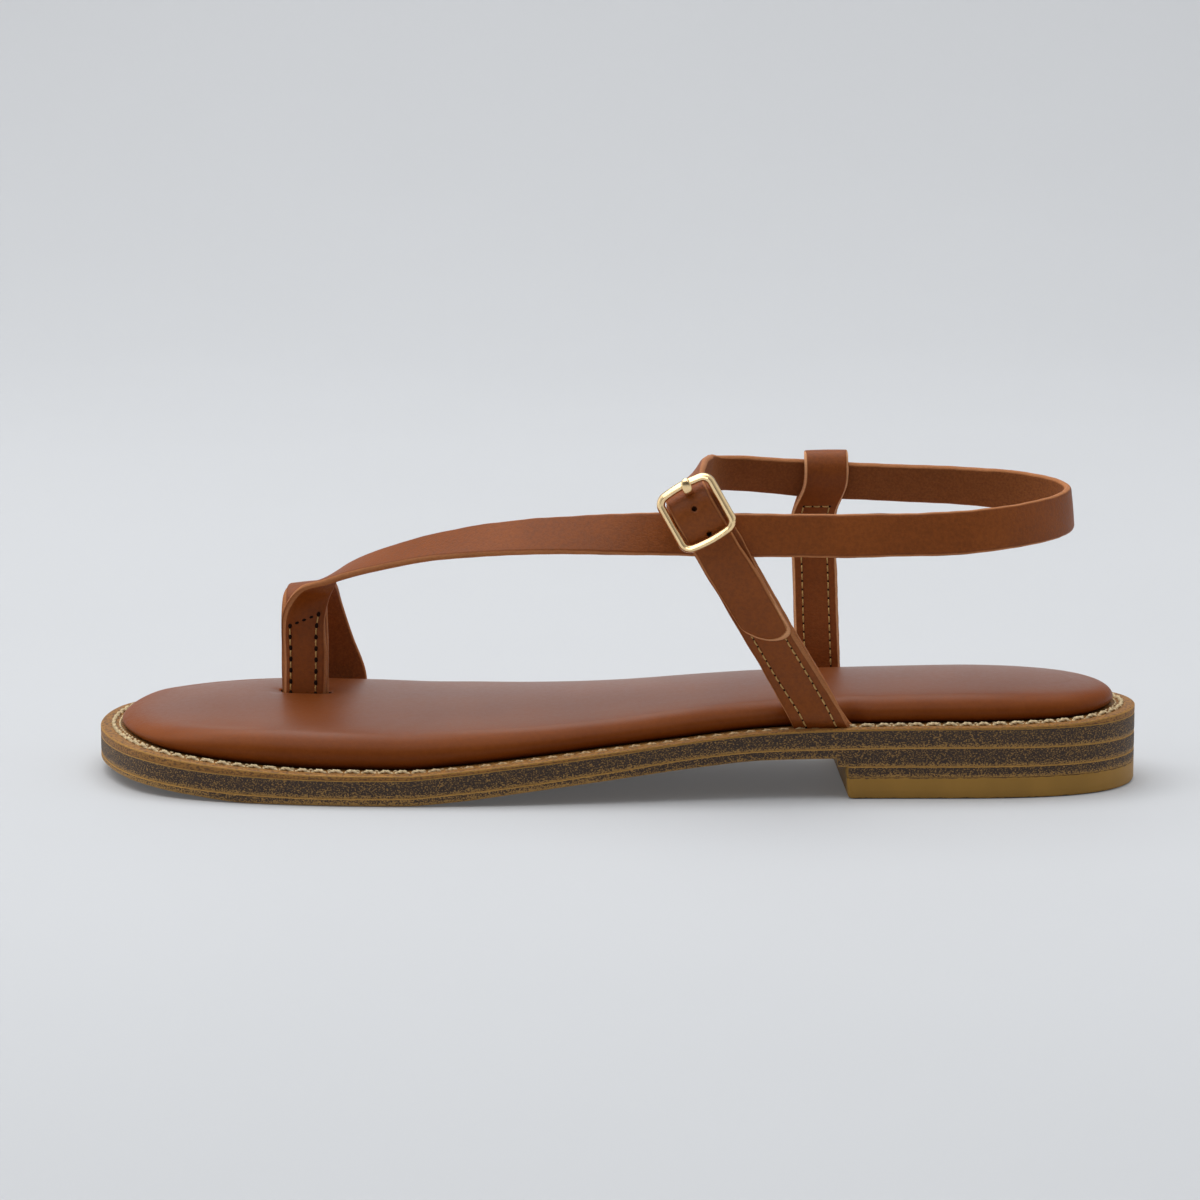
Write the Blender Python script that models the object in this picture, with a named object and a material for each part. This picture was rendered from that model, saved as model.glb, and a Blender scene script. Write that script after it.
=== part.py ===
"""Strappy flat sandal for the left foot: layered sole with a low stacked heel, a padded leather
footbed, and an upper made of one long strap, a toe strap and two side posts, closed by a buckle.

Frame: X runs along the foot with the toe at -X, -Y is the lateral side, +Z is up, and the floor is
Z = 0 under the middle of the sandal. Sizes are in millimetres and meshes are made in metres.
"""

import math

import bmesh
import bpy
import numpy as np

MM = 0.001
GAP = 0.3

# Sole and footbed
LENGTH = 250.0
HEEL_TIP_Y = 0.0
TOE_TIP_Y = 10.0
RIM_WIDTH = 5.4
SIDE_INSET = 0.12
UNDER_ROUND = 1.0
RIM_ROUND = 0.5
BREAST_X = 53.4
BREAST_STEP = 0.9
BREAST_LEAN = 1.6
TOP_PIECE_HEIGHT = 5.0
TOP_PIECE_ROUND = 0.8
HEEL_LIFT_TOP = 7.6
CROWN = 1.3
CROWN_WIDTH = 40.0
FOOTBED_TILT = 0.02
SLOT_SPARE = 1.2

# Straps
STRAP_WIDTH = 10.1
STRAP_THICKNESS = 1.8
TOE_STRAP_WIDTH = 11.0
TOE_STRAP_THICKNESS = 1.6
POST_WIDTH = 10.9
POST_LAYER = 1.3
POST_THICKNESS = 2.4
POST_LEAN = math.radians(29.5)
LAP = 0.15
EDGE_ROUND = 0.45
TAIL_ROUND = 5.0
LOOP_NARROW = 0.4

# Buckle, set square to the leaning lateral post, whose line passes POST_TOP
POST_TOP = np.array([20.0, -37.3, 68.7])
BUCKLE_ASIDE = 0.22
BUCKLE_BELOW = 0.22
BUCKLE_ACROSS = 12.96
BUCKLE_ALONG = 13.0
BUCKLE_BOW = 0.63
BUCKLE_CORNER = 2.2
BAR_RADIUS = 0.95
CENTRE_BAR_DEPTH = 3.0
CENTRE_BAR_RADIUS = 0.8
CENTRE_BAR_BEND = 1.2
PRONG_RADIUS = 0.6

# Plan of the sole: reach to each side of the foot's axis, toe to heel
OUTLINE_COLUMNS = ("x", "lateral", "medial")
OUTLINE = (
    (-121.0, -11.0, 31.0),
    (-112.0, -26.5, 38.0),
    (-98.0, -35.4, 41.3),
    (-80.0, -40.0, 42.0),
    (-55.0, -42.0, 40.6),
    (-25.0, -40.4, 35.2),
    (5.0, -36.0, 28.6),
    (35.0, -31.3, 25.2),
    (65.0, -28.8, 25.6),
    (95.0, -27.0, 26.0),
    (115.0, -19.8, 19.8),
)

# Side of the sole: heights of its layers, toe to heel
LEVEL_COLUMNS = ("x", "underside", "outsole_top", "midsole_top", "rim_top", "footbed_thickness")
LEVELS = (
    (-125.0, 3.2, 4.4, 8.6, 11.0, 3.2),
    (-112.0, 2.3, 3.8, 8.2, 10.4, 4.6),
    (-98.0, 1.0, 2.7, 7.1, 9.1, 6.8),
    (-84.0, 0.0, 2.0, 6.4, 8.1, 8.7),
    (-65.0, 0.0, 1.7, 6.0, 7.4, 9.7),
    (-48.0, 0.0, 1.8, 6.1, 7.4, 9.6),
    (-36.0, 0.9, 2.8, 7.2, 8.3, 9.1),
    (-20.0, 2.9, 4.6, 9.0, 10.0, 8.0),
    (0.0, 5.4, 7.3, 11.3, 12.3, 7.2),
    (22.0, 8.1, 10.4, 14.2, 15.1, 6.8),
    (36.0, 9.3, 11.5, 15.5, 16.3, 6.7),
    (52.0, 9.5, 11.8, 16.1, 16.9, 6.8),
    (80.0, 9.5, 12.1, 16.5, 17.5, 6.8),
    (125.0, 9.5, 11.8, 16.4, 18.3, 4.8),
)

# Padded side of the footbed: inset from its widest line, and share of its thickness
FOOTBED_SIDE = (
    (1.7, 0.0),
    (0.5, 0.16),
    (0.0, 0.4),
    (0.5, 0.64),
    (2.0, 0.83),
    (4.6, 0.94),
    (9.5, 1.0),
)

# Routes of the straps: middle of the strap, and the direction of its upper or rear edge
ROUTE_COLUMNS = ("x", "y", "z", "edge_x", "edge_y", "edge_z")
LONG_STRAP = (
    (-75.6, 6.0, 9.2, 1.0, 0.0, 0.0),
    (-75.6, 6.0, 18.0, 1.0, 0.0, 0.0),
    (-75.5, 6.0, 30.0, 1.0, 0.0, 0.0),
    (-74.9, 5.6, 37.5, 0.97, 0.2, -0.1),
    (-72.4, 5.0, 43.0, 0.72, 0.68, -0.16),
    (-67.6, 3.2, 46.8, 0.25, 0.96, 0.08),
    (-57.0, -2.9, 51.7, 0.0, 0.97, 0.24),
    (-41.0, -12.3, 56.8, 0.0, 0.89, 0.45),
    (-25.0, -20.6, 60.0, 0.0, 0.77, 0.64),
    (-5.0, -28.0, 62.1, 0.0, 0.6, 0.8),
    (12.0, -31.4, 62.8, 0.0, 0.3, 0.95),
    (30.0, -32.3, 62.8, 0.0, 0.06, 1.0),
    (60.0, -32.0, 62.8, 0.0, 0.16, 0.99),
    (84.0, -27.6, 63.2, -0.05, 0.16, 0.98),
    (101.0, -16.5, 64.3, -0.1, 0.1, 0.99),
    (108.4, 0.0, 65.4, -0.1, 0.0, 1.0),
    (102.0, 14.6, 66.3, -0.1, -0.1, 0.99),
    (88.0, 23.0, 66.9, -0.05, -0.2, 0.98),
    (69.0, 27.0, 67.3, 0.0, -0.2, 0.98),
    (50.0, 28.3, 68.0, 0.0, -0.06, 1.0),
    (34.0, 27.4, 69.2, 0.0, -0.34, 0.94),
    (26.4, 24.8, 69.8, 0.0, -0.4, 0.92),
    (23.4, 19.0, 70.4, 0.03, -0.3, 0.95),
    (21.8, 7.0, 71.4, 0.24, -0.05, 0.97),
    (19.7, -8.0, 72.9, 0.48, 0.05, 0.88),
    (18.3, -21.0, 73.6, 0.7, 0.06, 0.71),
)
# The same strap over the buckle: distance along the post from its top, and depth
BUCKLED_END = (
    (-5.6, -30.6),
    (-4.9, -33.9),
    (-2.8, -36.5),
    (0.0, -37.4),
    (3.4, -36.7),
    (7.0, -35.3),
    (12.0, -35.0),
    (16.0, -34.2),
    (21.0, -33.0),
    (28.0, -31.3),
    (35.2, -29.6),
)

TOE_STRAP = (
    (-75.6, 7.55, 9.2, 1.0, 0.0, 0.0),
    (-75.6, 7.55, 18.0, 1.0, 0.0, 0.0),
    (-75.5, 7.55, 29.0, 1.0, 0.0, 0.02),
    (-75.3, 8.3, 36.6, 1.0, 0.0, 0.05),
    (-75.2, 10.6, 41.2, 1.0, 0.0, 0.08),
    (-75.2, 15.4, 42.9, 1.0, 0.0, 0.1),
    (-75.2, 21.6, 41.9, 1.0, 0.0, 0.1),
    (-74.6, 28.4, 38.0, 1.0, 0.0, 0.12),
    (-73.0, 33.6, 31.6, 1.0, 0.0, 0.2),
    (-71.0, 36.6, 24.0, 1.0, 0.0, 0.22),
    (-69.4, 37.7, 17.0, 1.0, 0.0, 0.15),
    (-68.8, 37.4, 12.2, 1.0, 0.0, 0.0),
    (-68.7, 35.6, 9.4, 1.0, 0.0, 0.0),
    (-68.7, 32.2, 8.7, 1.0, 0.0, 0.0),
    (-68.7, 26.0, 8.65, 1.0, 0.0, 0.0),
)

# Posts, from the tab under the footbed up: place along the post, depth of its middle, and thickness.
# The lateral post is measured down from its top, the medial one by height.
LATERAL_POST = (
    (57.8, -13.0, POST_THICKNESS),
    (57.8, -20.0, POST_THICKNESS),
    (57.4, -24.0, POST_THICKNESS),
    (55.3, -25.8, POST_THICKNESS),
    (51.5, -26.3, POST_THICKNESS),
    (36.5, -28.6, POST_THICKNESS),
    (21.5, -31.1, POST_THICKNESS),
    (14.6, -32.4, 1.9),
    (8.0, -33.75, POST_LAYER),
    (3.5, -35.4, POST_LAYER),
    (0.0, -36.1, POST_LAYER),
    (-2.2, -35.6, POST_LAYER),
)
LATERAL_LOOP = (
    (-1.4, -35.85, POST_LAYER),
    (-3.4, -34.5, POST_LAYER),
    (-3.7, -32.3, POST_LAYER),
    (-1.2, -30.95, POST_LAYER),
    (7.0, -30.9, POST_LAYER),
    (15.5, -30.6, POST_LAYER),
    (25.0, -31.2, POST_LAYER),
)
LATERAL_LEVEL = 55.0
LATERAL_SQUARE = 40.0
MEDIAL_POST = (
    (18.4, 9.0, POST_THICKNESS),
    (18.4, 15.0, POST_THICKNESS),
    (18.8, 19.4, POST_THICKNESS),
    (20.7, 21.2, POST_THICKNESS),
    (24.0, 21.8, POST_THICKNESS),
    (38.0, 24.2, POST_THICKNESS),
    (50.0, 26.4, POST_THICKNESS),
    (58.0, 28.4, 1.9),
    (63.0, 29.7, POST_LAYER),
    (72.6, 29.7, POST_LAYER),
)
MEDIAL_LOOP = (
    (71.6, 29.72, POST_LAYER),
    (73.9, 29.2, POST_LAYER),
    (73.9, 27.4, POST_LAYER),
    (71.6, 26.9, POST_LAYER),
    (63.0, 26.85, POST_LAYER),
    (57.0, 26.2, POST_LAYER),
    (49.0, 26.4, POST_LAYER),
)
MEDIAL_FOOT = (49.5, 22.0)
MEDIAL_LEAN = 0.034
POST_FOOT_ROWS = 6
TOE_FOOT_ROWS = 6

# Prong: across the buckle, along it past the top bar, and depth past the bar's front, tip last
PRONG = (
    (0.65, 2.9, 6.6),
    (0.7, 2.2, 4.6),
    (0.75, 1.8, 3.2),
    (0.85, 1.35, 1.2),
    (1.0, 0.8, 0.25),
    (1.25, -0.15, 0.0),
    (1.4, -0.95, 0.35),
)
PRONG_FROM = 1
PRONG_HOLE_TO = 4

# Samples
HALF_OUTLINE_STEPS = 38
STRAP_STEP = 5.0
PRONG_STEP = 1.0
TUBE_SIDES = 8
CORNER_STEPS = 5


def column(table, names, name):
    return np.array([row[names.index(name)] for row in table])


def columns(table, names, wanted):
    return np.column_stack([column(table, names, name) for name in wanted])


def cubic_through(knots, values, at, period=None):
    """Smooth curve through values at the knots, natural at its ends or closed after one period."""
    knots = np.asarray(knots, float)
    values = np.asarray(values, float).reshape(len(knots), -1)
    at = np.asarray(at, float)
    if period is not None:
        knots = np.append(knots, knots[0] + period)
        values = np.vstack([values, values[:1]])
        at = knots[0] + (at - knots[0]) % period
    spans = np.diff(knots)
    slopes = np.diff(values, axis=0) / spans[:, None]
    count = len(knots)
    system = np.zeros((count, count))
    right = np.zeros((count, values.shape[1]))
    for i in range(1, count - 1):
        system[i, i - 1 : i + 2] = spans[i - 1], 2 * (spans[i - 1] + spans[i]), spans[i]
        right[i] = 6 * (slopes[i] - slopes[i - 1])
    if period is None:
        system[0, 0] = system[-1, -1] = 1.0
    else:
        system[0, 0], system[0, -1] = 1.0, -1.0
        system[-1, [0, 1, -2, -1]] = 2 * spans[0], spans[0], spans[-1], 2 * spans[-1]
        right[-1] = 6 * (slopes[0] - slopes[-1])
    bends = np.linalg.solve(system, right)
    i = np.clip(np.searchsorted(knots, at, side="right") - 1, 0, count - 2)
    h = spans[i][:, None]
    a = (knots[i + 1] - at)[:, None] / h
    b = 1 - a
    cubic = ((a**3 - a) * bends[i] + (b**3 - b) * bends[i + 1]) * h**2 / 6
    return a * values[i] + b * values[i + 1] + cubic


def even_through(knots, values, at):
    """Smooth curve through values that never overshoots them, so level stretches stay level."""
    knots = np.asarray(knots, float)
    values = np.asarray(values, float)
    at = np.clip(np.asarray(at, float), knots[0], knots[-1])
    spans = np.diff(knots)
    slopes = np.diff(values) / spans
    tangents = np.concatenate([slopes[:1], np.zeros(len(knots) - 2), slopes[-1:]])
    for i in range(1, len(knots) - 1):
        before, after = slopes[i - 1], slopes[i]
        if before * after > 0:
            tangents[i] = 2 * before * after / (before + after)
    i = np.clip(np.searchsorted(knots, at, side="right") - 1, 0, len(spans) - 1)
    t = (at - knots[i]) / spans[i]
    rise = values[i] * (2 * t**3 - 3 * t**2 + 1) + values[i + 1] * (3 * t**2 - 2 * t**3)
    bend = tangents[i] * (t**3 - 2 * t**2 + t) + tangents[i + 1] * (t**3 - t**2)
    return rise + spans[i] * bend


def level(name, x):
    heights = column(LEVELS, LEVEL_COLUMNS, name)
    return even_through(column(LEVELS, LEVEL_COLUMNS, "x"), heights, x)


def outline_points(angles):
    """Points of the sole's plan: angle 0 is the back of the heel, pi the toe, lateral side between."""
    x = column(OUTLINE, OUTLINE_COLUMNS, "x")
    turn = np.arccos(x / (LENGTH / 2))
    lateral = column(OUTLINE, OUTLINE_COLUMNS, "lateral")[::-1]
    medial = column(OUTLINE, OUTLINE_COLUMNS, "medial")
    knots = np.concatenate([[0.0], turn[::-1], [math.pi], 2 * math.pi - turn])
    reach = np.concatenate([[HEEL_TIP_Y], lateral, [TOE_TIP_Y], medial])
    y = cubic_through(knots, reach, angles, period=2 * math.pi)[:, 0]
    return np.column_stack([np.cos(angles) * LENGTH / 2, y])


def half_angles(front_x=None):
    """Angles from the heel to the toe, or to a straight front edge across the sole at front_x."""
    even = np.linspace(0, math.pi, HALF_OUTLINE_STEPS + 1)
    if front_x is not None:
        front = math.acos(front_x / (LENGTH / 2))
        return np.append(even[even < front - 0.02], front)
    step = [math.acos((BREAST_X + side) / (LENGTH / 2)) for side in (-0.4, 0.4)]
    return np.sort(np.concatenate([even, step]))


def plan_ring(inset=0.0, front_x=None):
    """Closed plan of the sole, set in by the inset: heel, lateral side, front, medial side."""
    half = half_angles(front_x)
    back = half[::-1][(1 if front_x is None else 0) : -1]
    angles = np.concatenate([half, 2 * math.pi - back])
    points = outline_points(angles)
    nudge = 1e-4
    along = outline_points(angles + nudge) - outline_points(angles - nudge)
    along /= np.linalg.norm(along, axis=1)[:, None]
    inward = np.column_stack([along[:, 1], -along[:, 0]])
    if front_x is not None:
        last = len(half) - 1
        inward[[last, last + 1]] = [[0.0, 1.0], [0.0, -1.0]]
    return points + inset * inward


def cap_faces(ring):
    """Rows of faces across a closed ring, from the heel to the front."""
    count = len(ring)
    rows = [(ring[k], ring[-k]) for k in range(1, (count + 1) // 2)]
    faces = [(ring[0], rows[0][0], rows[0][1])]
    faces += [(a, c, d, b) for (a, b), (c, d) in zip(rows, rows[1:])]
    if count % 2 == 0:
        faces.append((rows[-1][0], ring[count // 2], rows[-1][1]))
    return faces


def stacked(rings):
    """Closed solid through rings of points, bottom to top, capped at both ends."""
    count = len(rings[0])
    points = np.vstack(rings)
    levels = [list(range(i * count, (i + 1) * count)) for i in range(len(rings))]
    faces = cap_faces(levels[0]) + cap_faces(levels[-1])
    for low, high in zip(levels, levels[1:]):
        for k in range(count):
            nxt = (k + 1) % count
            faces.append((low[k], low[nxt], high[nxt], high[k]))
    return points, faces


def ring_at(inset, height, front_x=None):
    """A plan ring at a height, which is a number or a function of x."""
    ring = plan_ring(inset, front_x)
    z = height(ring[:, 0]) if callable(height) else np.full(len(ring), height)
    return np.column_stack([ring, z])


def route_samples(points, step):
    """Knots by length along a route, and the lengths to sample it at, at least two to each span."""
    spans = np.linalg.norm(np.diff(points, axis=0), axis=1)
    knots = np.concatenate([[0.0], np.cumsum(spans)])
    at = [np.linspace(a, b, max(2, round((b - a) / step)), endpoint=False) for a, b in zip(knots, knots[1:])]
    return knots, np.append(np.concatenate(at), knots[-1])


def strip(points, edges, thicknesses, grow=0.0, tail_round=0.0, step=STRAP_STEP):
    """Flat strip along a route: edges hold each section's width, thicknesses its depth."""
    knots, at = route_samples(points, step)
    if tail_round:
        ends = knots[-1] - tail_round * (1 - np.sin(np.linspace(0, math.pi / 2 - 0.12, 6)))
        at = np.concatenate([at[at < ends[0] - 0.5], ends])
    middle = cubic_through(knots, points, at)
    ahead = np.gradient(middle, at, axis=0)
    ahead /= np.linalg.norm(ahead, axis=1)[:, None]
    edge = np.column_stack([even_through(knots, edges[:, i], at) for i in range(3)])
    facing = np.cross(ahead, edge)
    facing /= np.linalg.norm(facing, axis=1)[:, None]
    half_width = np.linalg.norm(edge, axis=1) / 2
    half_depth = even_through(knots, thicknesses, at) / 2 + grow
    edge /= np.linalg.norm(edge, axis=1)[:, None]
    if tail_round:
        reach = np.clip((at - knots[-1] + tail_round) / tail_round, 0, 1)
        half_width = half_width * np.sqrt(1 - reach**2)
    half_width = half_width + grow
    corner = np.minimum(EDGE_ROUND, 0.6 * half_depth)
    section = (
        (half_width - corner, half_depth),
        (half_width, half_depth - corner),
        (half_width, corner - half_depth),
        (half_width - corner, -half_depth),
        (corner - half_width, -half_depth),
        (-half_width, corner - half_depth),
        (-half_width, half_depth - corner),
        (corner - half_width, half_depth),
    )
    rings = [middle + edge * u[:, None] + facing * v[:, None] for u, v in section]
    return swept(np.stack(rings, axis=1))


def swept(rings, closed=False):
    """Closed solid through rings along a route, open-ended with flat ends or joined to its start."""
    length, count = rings.shape[:2]
    faces = []
    for i in range(length if closed else length - 1):
        here, there = i * count, (i + 1) % length * count
        for k in range(count):
            nxt = (k + 1) % count
            faces.append((here + k, here + nxt, there + nxt, there + k))
    if not closed:
        faces.append(tuple(range(count)))
        faces.append(tuple(range((length - 1) * count, length * count)))
    return rings.reshape(-1, 3), faces


def rod(points, radius, closed=False):
    """Round rod along a route of points."""
    points = np.asarray(points, float)
    if closed:
        ahead = np.roll(points, -1, axis=0) - np.roll(points, 1, axis=0)
    else:
        ahead = np.gradient(points, axis=0)
    ahead /= np.linalg.norm(ahead, axis=1)[:, None]
    side = np.cross(ahead, [0.0, 1.0, 0.0])
    flat = np.linalg.norm(side, axis=1) < 0.2
    side[flat] = np.cross(ahead[flat], [0.0, 0.0, 1.0])
    side /= np.linalg.norm(side, axis=1)[:, None]
    up = np.cross(side, ahead)
    turns = np.arange(TUBE_SIDES) * 2 * math.pi / TUBE_SIDES
    rings = [points + radius * (math.cos(t) * side + math.sin(t) * up) for t in turns]
    return swept(np.stack(rings, axis=1), closed)


def material_for(name, colour, roughness, metallic=0.0):
    finish = bpy.data.materials.new(name)
    finish.use_nodes = True
    shader = finish.node_tree.nodes["Principled BSDF"]
    shader.inputs["Base Color"].default_value = (*colour, 1.0)
    shader.inputs["Roughness"].default_value = roughness
    shader.inputs["Metallic"].default_value = metallic
    return finish


def add_solid(name, shape, finish=None):
    """Object from points and faces, faces out; without a finish it is a hidden helper."""
    points, faces = shape
    mesh = bpy.data.meshes.new(name)
    work = bmesh.new()
    corners = [work.verts.new(point) for point in np.asarray(points) * MM]
    for face in faces:
        work.faces.new([corners[i] for i in face])
    bmesh.ops.recalc_face_normals(work, faces=work.faces)
    if sum(face.calc_area() * face.normal.dot(face.calc_center_median()) for face in work.faces) < 0:
        bmesh.ops.reverse_faces(work, faces=work.faces)
    work.to_mesh(mesh)
    work.free()
    mesh.shade_smooth()
    mesh.set_sharp_from_angle(angle=math.radians(35))
    solid = bpy.data.objects.new(name, mesh)
    bpy.context.scene.collection.objects.link(solid)
    if finish is None:
        solid.hide_render = True
        solid.display_type = "WIRE"
    else:
        mesh.materials.append(finish)
    return solid


def combine(solid, helper, operation):
    step = solid.modifiers.new(f"{operation.lower()} {helper.name}", "BOOLEAN")
    step.operation = operation
    step.solver = "EXACT"
    step.object = helper


def make_sole():
    brown = material_for("brown_sole_edge", (0.075, 0.034, 0.02), 0.6)
    dark = material_for("dark_sole_band", (0.05, 0.026, 0.018), 0.55)
    tan = material_for("tan_rubber", (0.5, 0.27, 0.08), 0.6)

    def outsole_under(x):
        return np.where(x > BREAST_X, HEEL_LIFT_TOP + GAP, level("underside", x))

    def under_edge(x):
        return outsole_under(x) + 0.45 * (level("outsole_top", x) - level("underside", x))

    def outsole_top(x):
        return level("outsole_top", x)

    def midsole_under(x):
        return outsole_top(x) + GAP

    def midsole_top(x):
        return level("midsole_top", x)

    def welt_under(x):
        return midsole_top(x) + GAP

    def rim_top(x):
        return level("rim_top", x)

    def rim_edge(x):
        return rim_top(x) - 0.3 * (rim_top(x) - welt_under(x))

    outsole = (
        ring_at(UNDER_ROUND + SIDE_INSET, outsole_under),
        ring_at(2 * SIDE_INSET, under_edge),
        ring_at(SIDE_INSET, outsole_top),
    )
    add_solid("outsole", stacked(outsole), dark)
    midsole = (ring_at(SIDE_INSET, midsole_under), ring_at(SIDE_INSET, midsole_top))
    add_solid("midsole", stacked(midsole), dark)
    welt = (ring_at(SIDE_INSET, welt_under), ring_at(0.0, rim_edge), ring_at(RIM_ROUND, rim_top))
    add_solid("welt", stacked(welt), brown)

    def breast_at(z):
        return BREAST_X + BREAST_STEP + BREAST_LEAN * (1 - z / HEEL_LIFT_TOP)

    lift_low = TOP_PIECE_HEIGHT + GAP
    lift = [ring_at(SIDE_INSET, z, breast_at(z)) for z in (lift_low, HEEL_LIFT_TOP)]
    add_solid("heel_lift", stacked(lift), dark)
    top_piece = [
        ring_at(inset, z, breast_at(z) + inset)
        for inset, z in (
            (TOP_PIECE_ROUND + SIDE_INSET, 0.0),
            (2 * SIDE_INSET, TOP_PIECE_ROUND),
            (SIDE_INSET, TOP_PIECE_HEIGHT),
        )
    ]
    add_solid("heel_top_piece", stacked(top_piece), tan)


def make_footbed():
    """Padded insole with a tucked-under side, a toe slot and room for the ends of the straps."""
    leather = material_for("footbed_leather", (0.2, 0.075, 0.03), 0.4)

    rings = []
    for inset, share in FOOTBED_SIDE:
        def height(x, share=share):
            return level("rim_top", x) + GAP + share * level("footbed_thickness", x)
        ring = ring_at(RIM_WIDTH + inset, height)
        ring[:, 2] += share * FOOTBED_TILT * ring[:, 1]
        rings.append(ring)
    count = len(rings[0])
    points, faces = stacked(rings)
    cap = len(cap_faces(range(count)))
    faces = faces[:cap] + faces[2 * cap :]
    top = len(points) - count
    shares = (0.25, 0.5, 0.75)
    crown = []
    for k in range(1, count // 2):
        lateral, medial = points[top + k], points[top + count - k]
        rise = CROWN * min(1.0, (medial[1] - lateral[1]) / CROWN_WIDTH) ** 2
        for share in shares:
            middle = lateral + share * (medial - lateral)
            middle[2] += rise * 4 * share * (1 - share)
            crown.append(middle)
    width = len(shares)
    base = len(points)

    def row(k):
        return [top + k, *(base + (k - 1) * width + j for j in range(width)), top + count - k]

    rows = [row(k) for k in range(1, count // 2)]
    for near, far in zip(rows, rows[1:]):
        faces += [(near[j], near[j + 1], far[j + 1], far[j]) for j in range(width + 1)]
    faces += [(top, rows[0][j + 1], rows[0][j]) for j in range(width + 1)]
    faces += [(top + count // 2, rows[-1][j], rows[-1][j + 1]) for j in range(width + 1)]
    footbed = add_solid("footbed", (np.vstack([points, crown]), faces), leather)

    toe_foot = route_strip(TOE_STRAP[-TOE_FOOT_ROWS:], TOE_STRAP_WIDTH, TOE_STRAP_THICKNESS, GAP)
    for name, shape in (
        ("toe_slot", strap_in_slot()),
        ("toe_strap_foot", toe_foot),
        ("lateral_post_foot", post_strip(LATERAL_POST[:POST_FOOT_ROWS], lateral_place, GAP)),
        ("medial_post_foot", post_strip(MEDIAL_POST[:POST_FOOT_ROWS], medial_place, GAP)),
    ):
        combine(footbed, add_solid(name, shape), "DIFFERENCE")


def strap_in_slot():
    """Slot through the footbed, a little longer than the two strap ends that fill it."""
    x, y, z = LONG_STRAP[0][:3]
    depth = STRAP_THICKNESS + TOE_STRAP_THICKNESS - LAP
    middle = y + (depth - STRAP_THICKNESS) / 2
    points = np.array([(x, middle, z + rise) for rise in (-4.0, 6.0, 16.0)])
    edges = np.tile([TOE_STRAP_WIDTH + SLOT_SPARE, 0.0, 0.0], (len(points), 1))
    return strip(points, edges, np.full(len(points), depth + 2 * GAP))


def route_strip(rows, width, thickness, grow=0.0, tail_round=0.0):
    points = columns(rows, ROUTE_COLUMNS, ("x", "y", "z"))
    edges = columns(rows, ROUTE_COLUMNS, ("edge_x", "edge_y", "edge_z"))
    edges *= width / np.linalg.norm(edges, axis=1)[:, None]
    return strip(points, edges, np.full(len(rows), thickness), grow, tail_round)


def lateral_place(along):
    """Point of the lateral post, and its width: square to its lean above, level at its foot."""
    across, down = buckle_axes()
    level_share = np.clip((along - LATERAL_SQUARE) / (LATERAL_LEVEL - LATERAL_SQUARE), 0, 1)
    level_edge = np.array([POST_WIDTH / math.cos(POST_LEAN), 0.0, 0.0])
    edge = (1 - level_share) * POST_WIDTH * across + level_share * level_edge
    return POST_TOP + along * down, edge


def medial_place(height):
    x, z = MEDIAL_FOOT
    return np.array([x + MEDIAL_LEAN * (height - z), 0.0, height]), np.array([POST_WIDTH, 0.0, 0.0])


def post_strip(rows, place, grow=0.0, narrow=0.0):
    """Strip of a post through its rows of place, depth and thickness."""
    points = np.array([(place(along)[0][0], y, place(along)[0][2]) for along, y, _ in rows])
    edges = np.array([place(along)[1] for along, _, _ in rows]) * (1 - narrow / POST_WIDTH)
    return strip(points, edges, np.array([row[2] for row in rows]), grow)


def buckle_axes():
    """Directions across the buckle, and along it down the post."""
    across = np.array([math.cos(POST_LEAN), 0.0, math.sin(POST_LEAN)])
    along = np.array([math.sin(POST_LEAN), 0.0, -math.cos(POST_LEAN)])
    return across, along


def long_strap_rows():
    across, along = buckle_axes()
    rows = list(LONG_STRAP)
    for distance, y in BUCKLED_END:
        x, _, z = POST_TOP + distance * along
        rows.append((x, y, z, *across))
    return rows


def buckle_point(across_by, along_by, depth=0.0):
    """Point by its place across and along the buckle's frame, and its depth behind it."""
    across, along = buckle_axes()
    spot = (BUCKLE_ASIDE + across_by) * across + (BUCKLE_BELOW + along_by) * along
    return POST_TOP + spot + [0.0, depth, 0.0]


def prong_route(rows):
    """From the strap behind the buckle, up through its hole and over the top bar."""
    bar = -BUCKLE_ALONG / 2 - BUCKLE_BOW
    front = -(BAR_RADIUS + PRONG_RADIUS + GAP)
    points = np.array([buckle_point(aside, bar + past, front + depth) for aside, past, depth in rows])
    knots, at = route_samples(points, PRONG_STEP)
    return cubic_through(knots, points, at)


def make_upper():
    """All straps as one piece, joined where they are sewn or cross."""
    leather = material_for("strap_leather", (0.16, 0.065, 0.03), 0.45)
    upper = add_solid(
        "upper",
        route_strip(long_strap_rows(), STRAP_WIDTH, STRAP_THICKNESS, tail_round=TAIL_ROUND),
        leather,
    )
    for name, shape in (
        ("toe_strap", route_strip(TOE_STRAP, TOE_STRAP_WIDTH, TOE_STRAP_THICKNESS)),
        ("lateral_post", post_strip(LATERAL_POST, lateral_place)),
        ("lateral_loop", post_strip(LATERAL_LOOP, lateral_place, narrow=LOOP_NARROW)),
        ("medial_post", post_strip(MEDIAL_POST, medial_place)),
        ("medial_loop", post_strip(MEDIAL_LOOP, medial_place, narrow=LOOP_NARROW)),
    ):
        combine(upper, add_solid(name, shape), "UNION")
    hole = add_solid("prong_hole", rod(prong_route(PRONG[:PRONG_HOLE_TO]), PRONG_RADIUS + GAP))
    combine(upper, hole, "DIFFERENCE")


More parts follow.
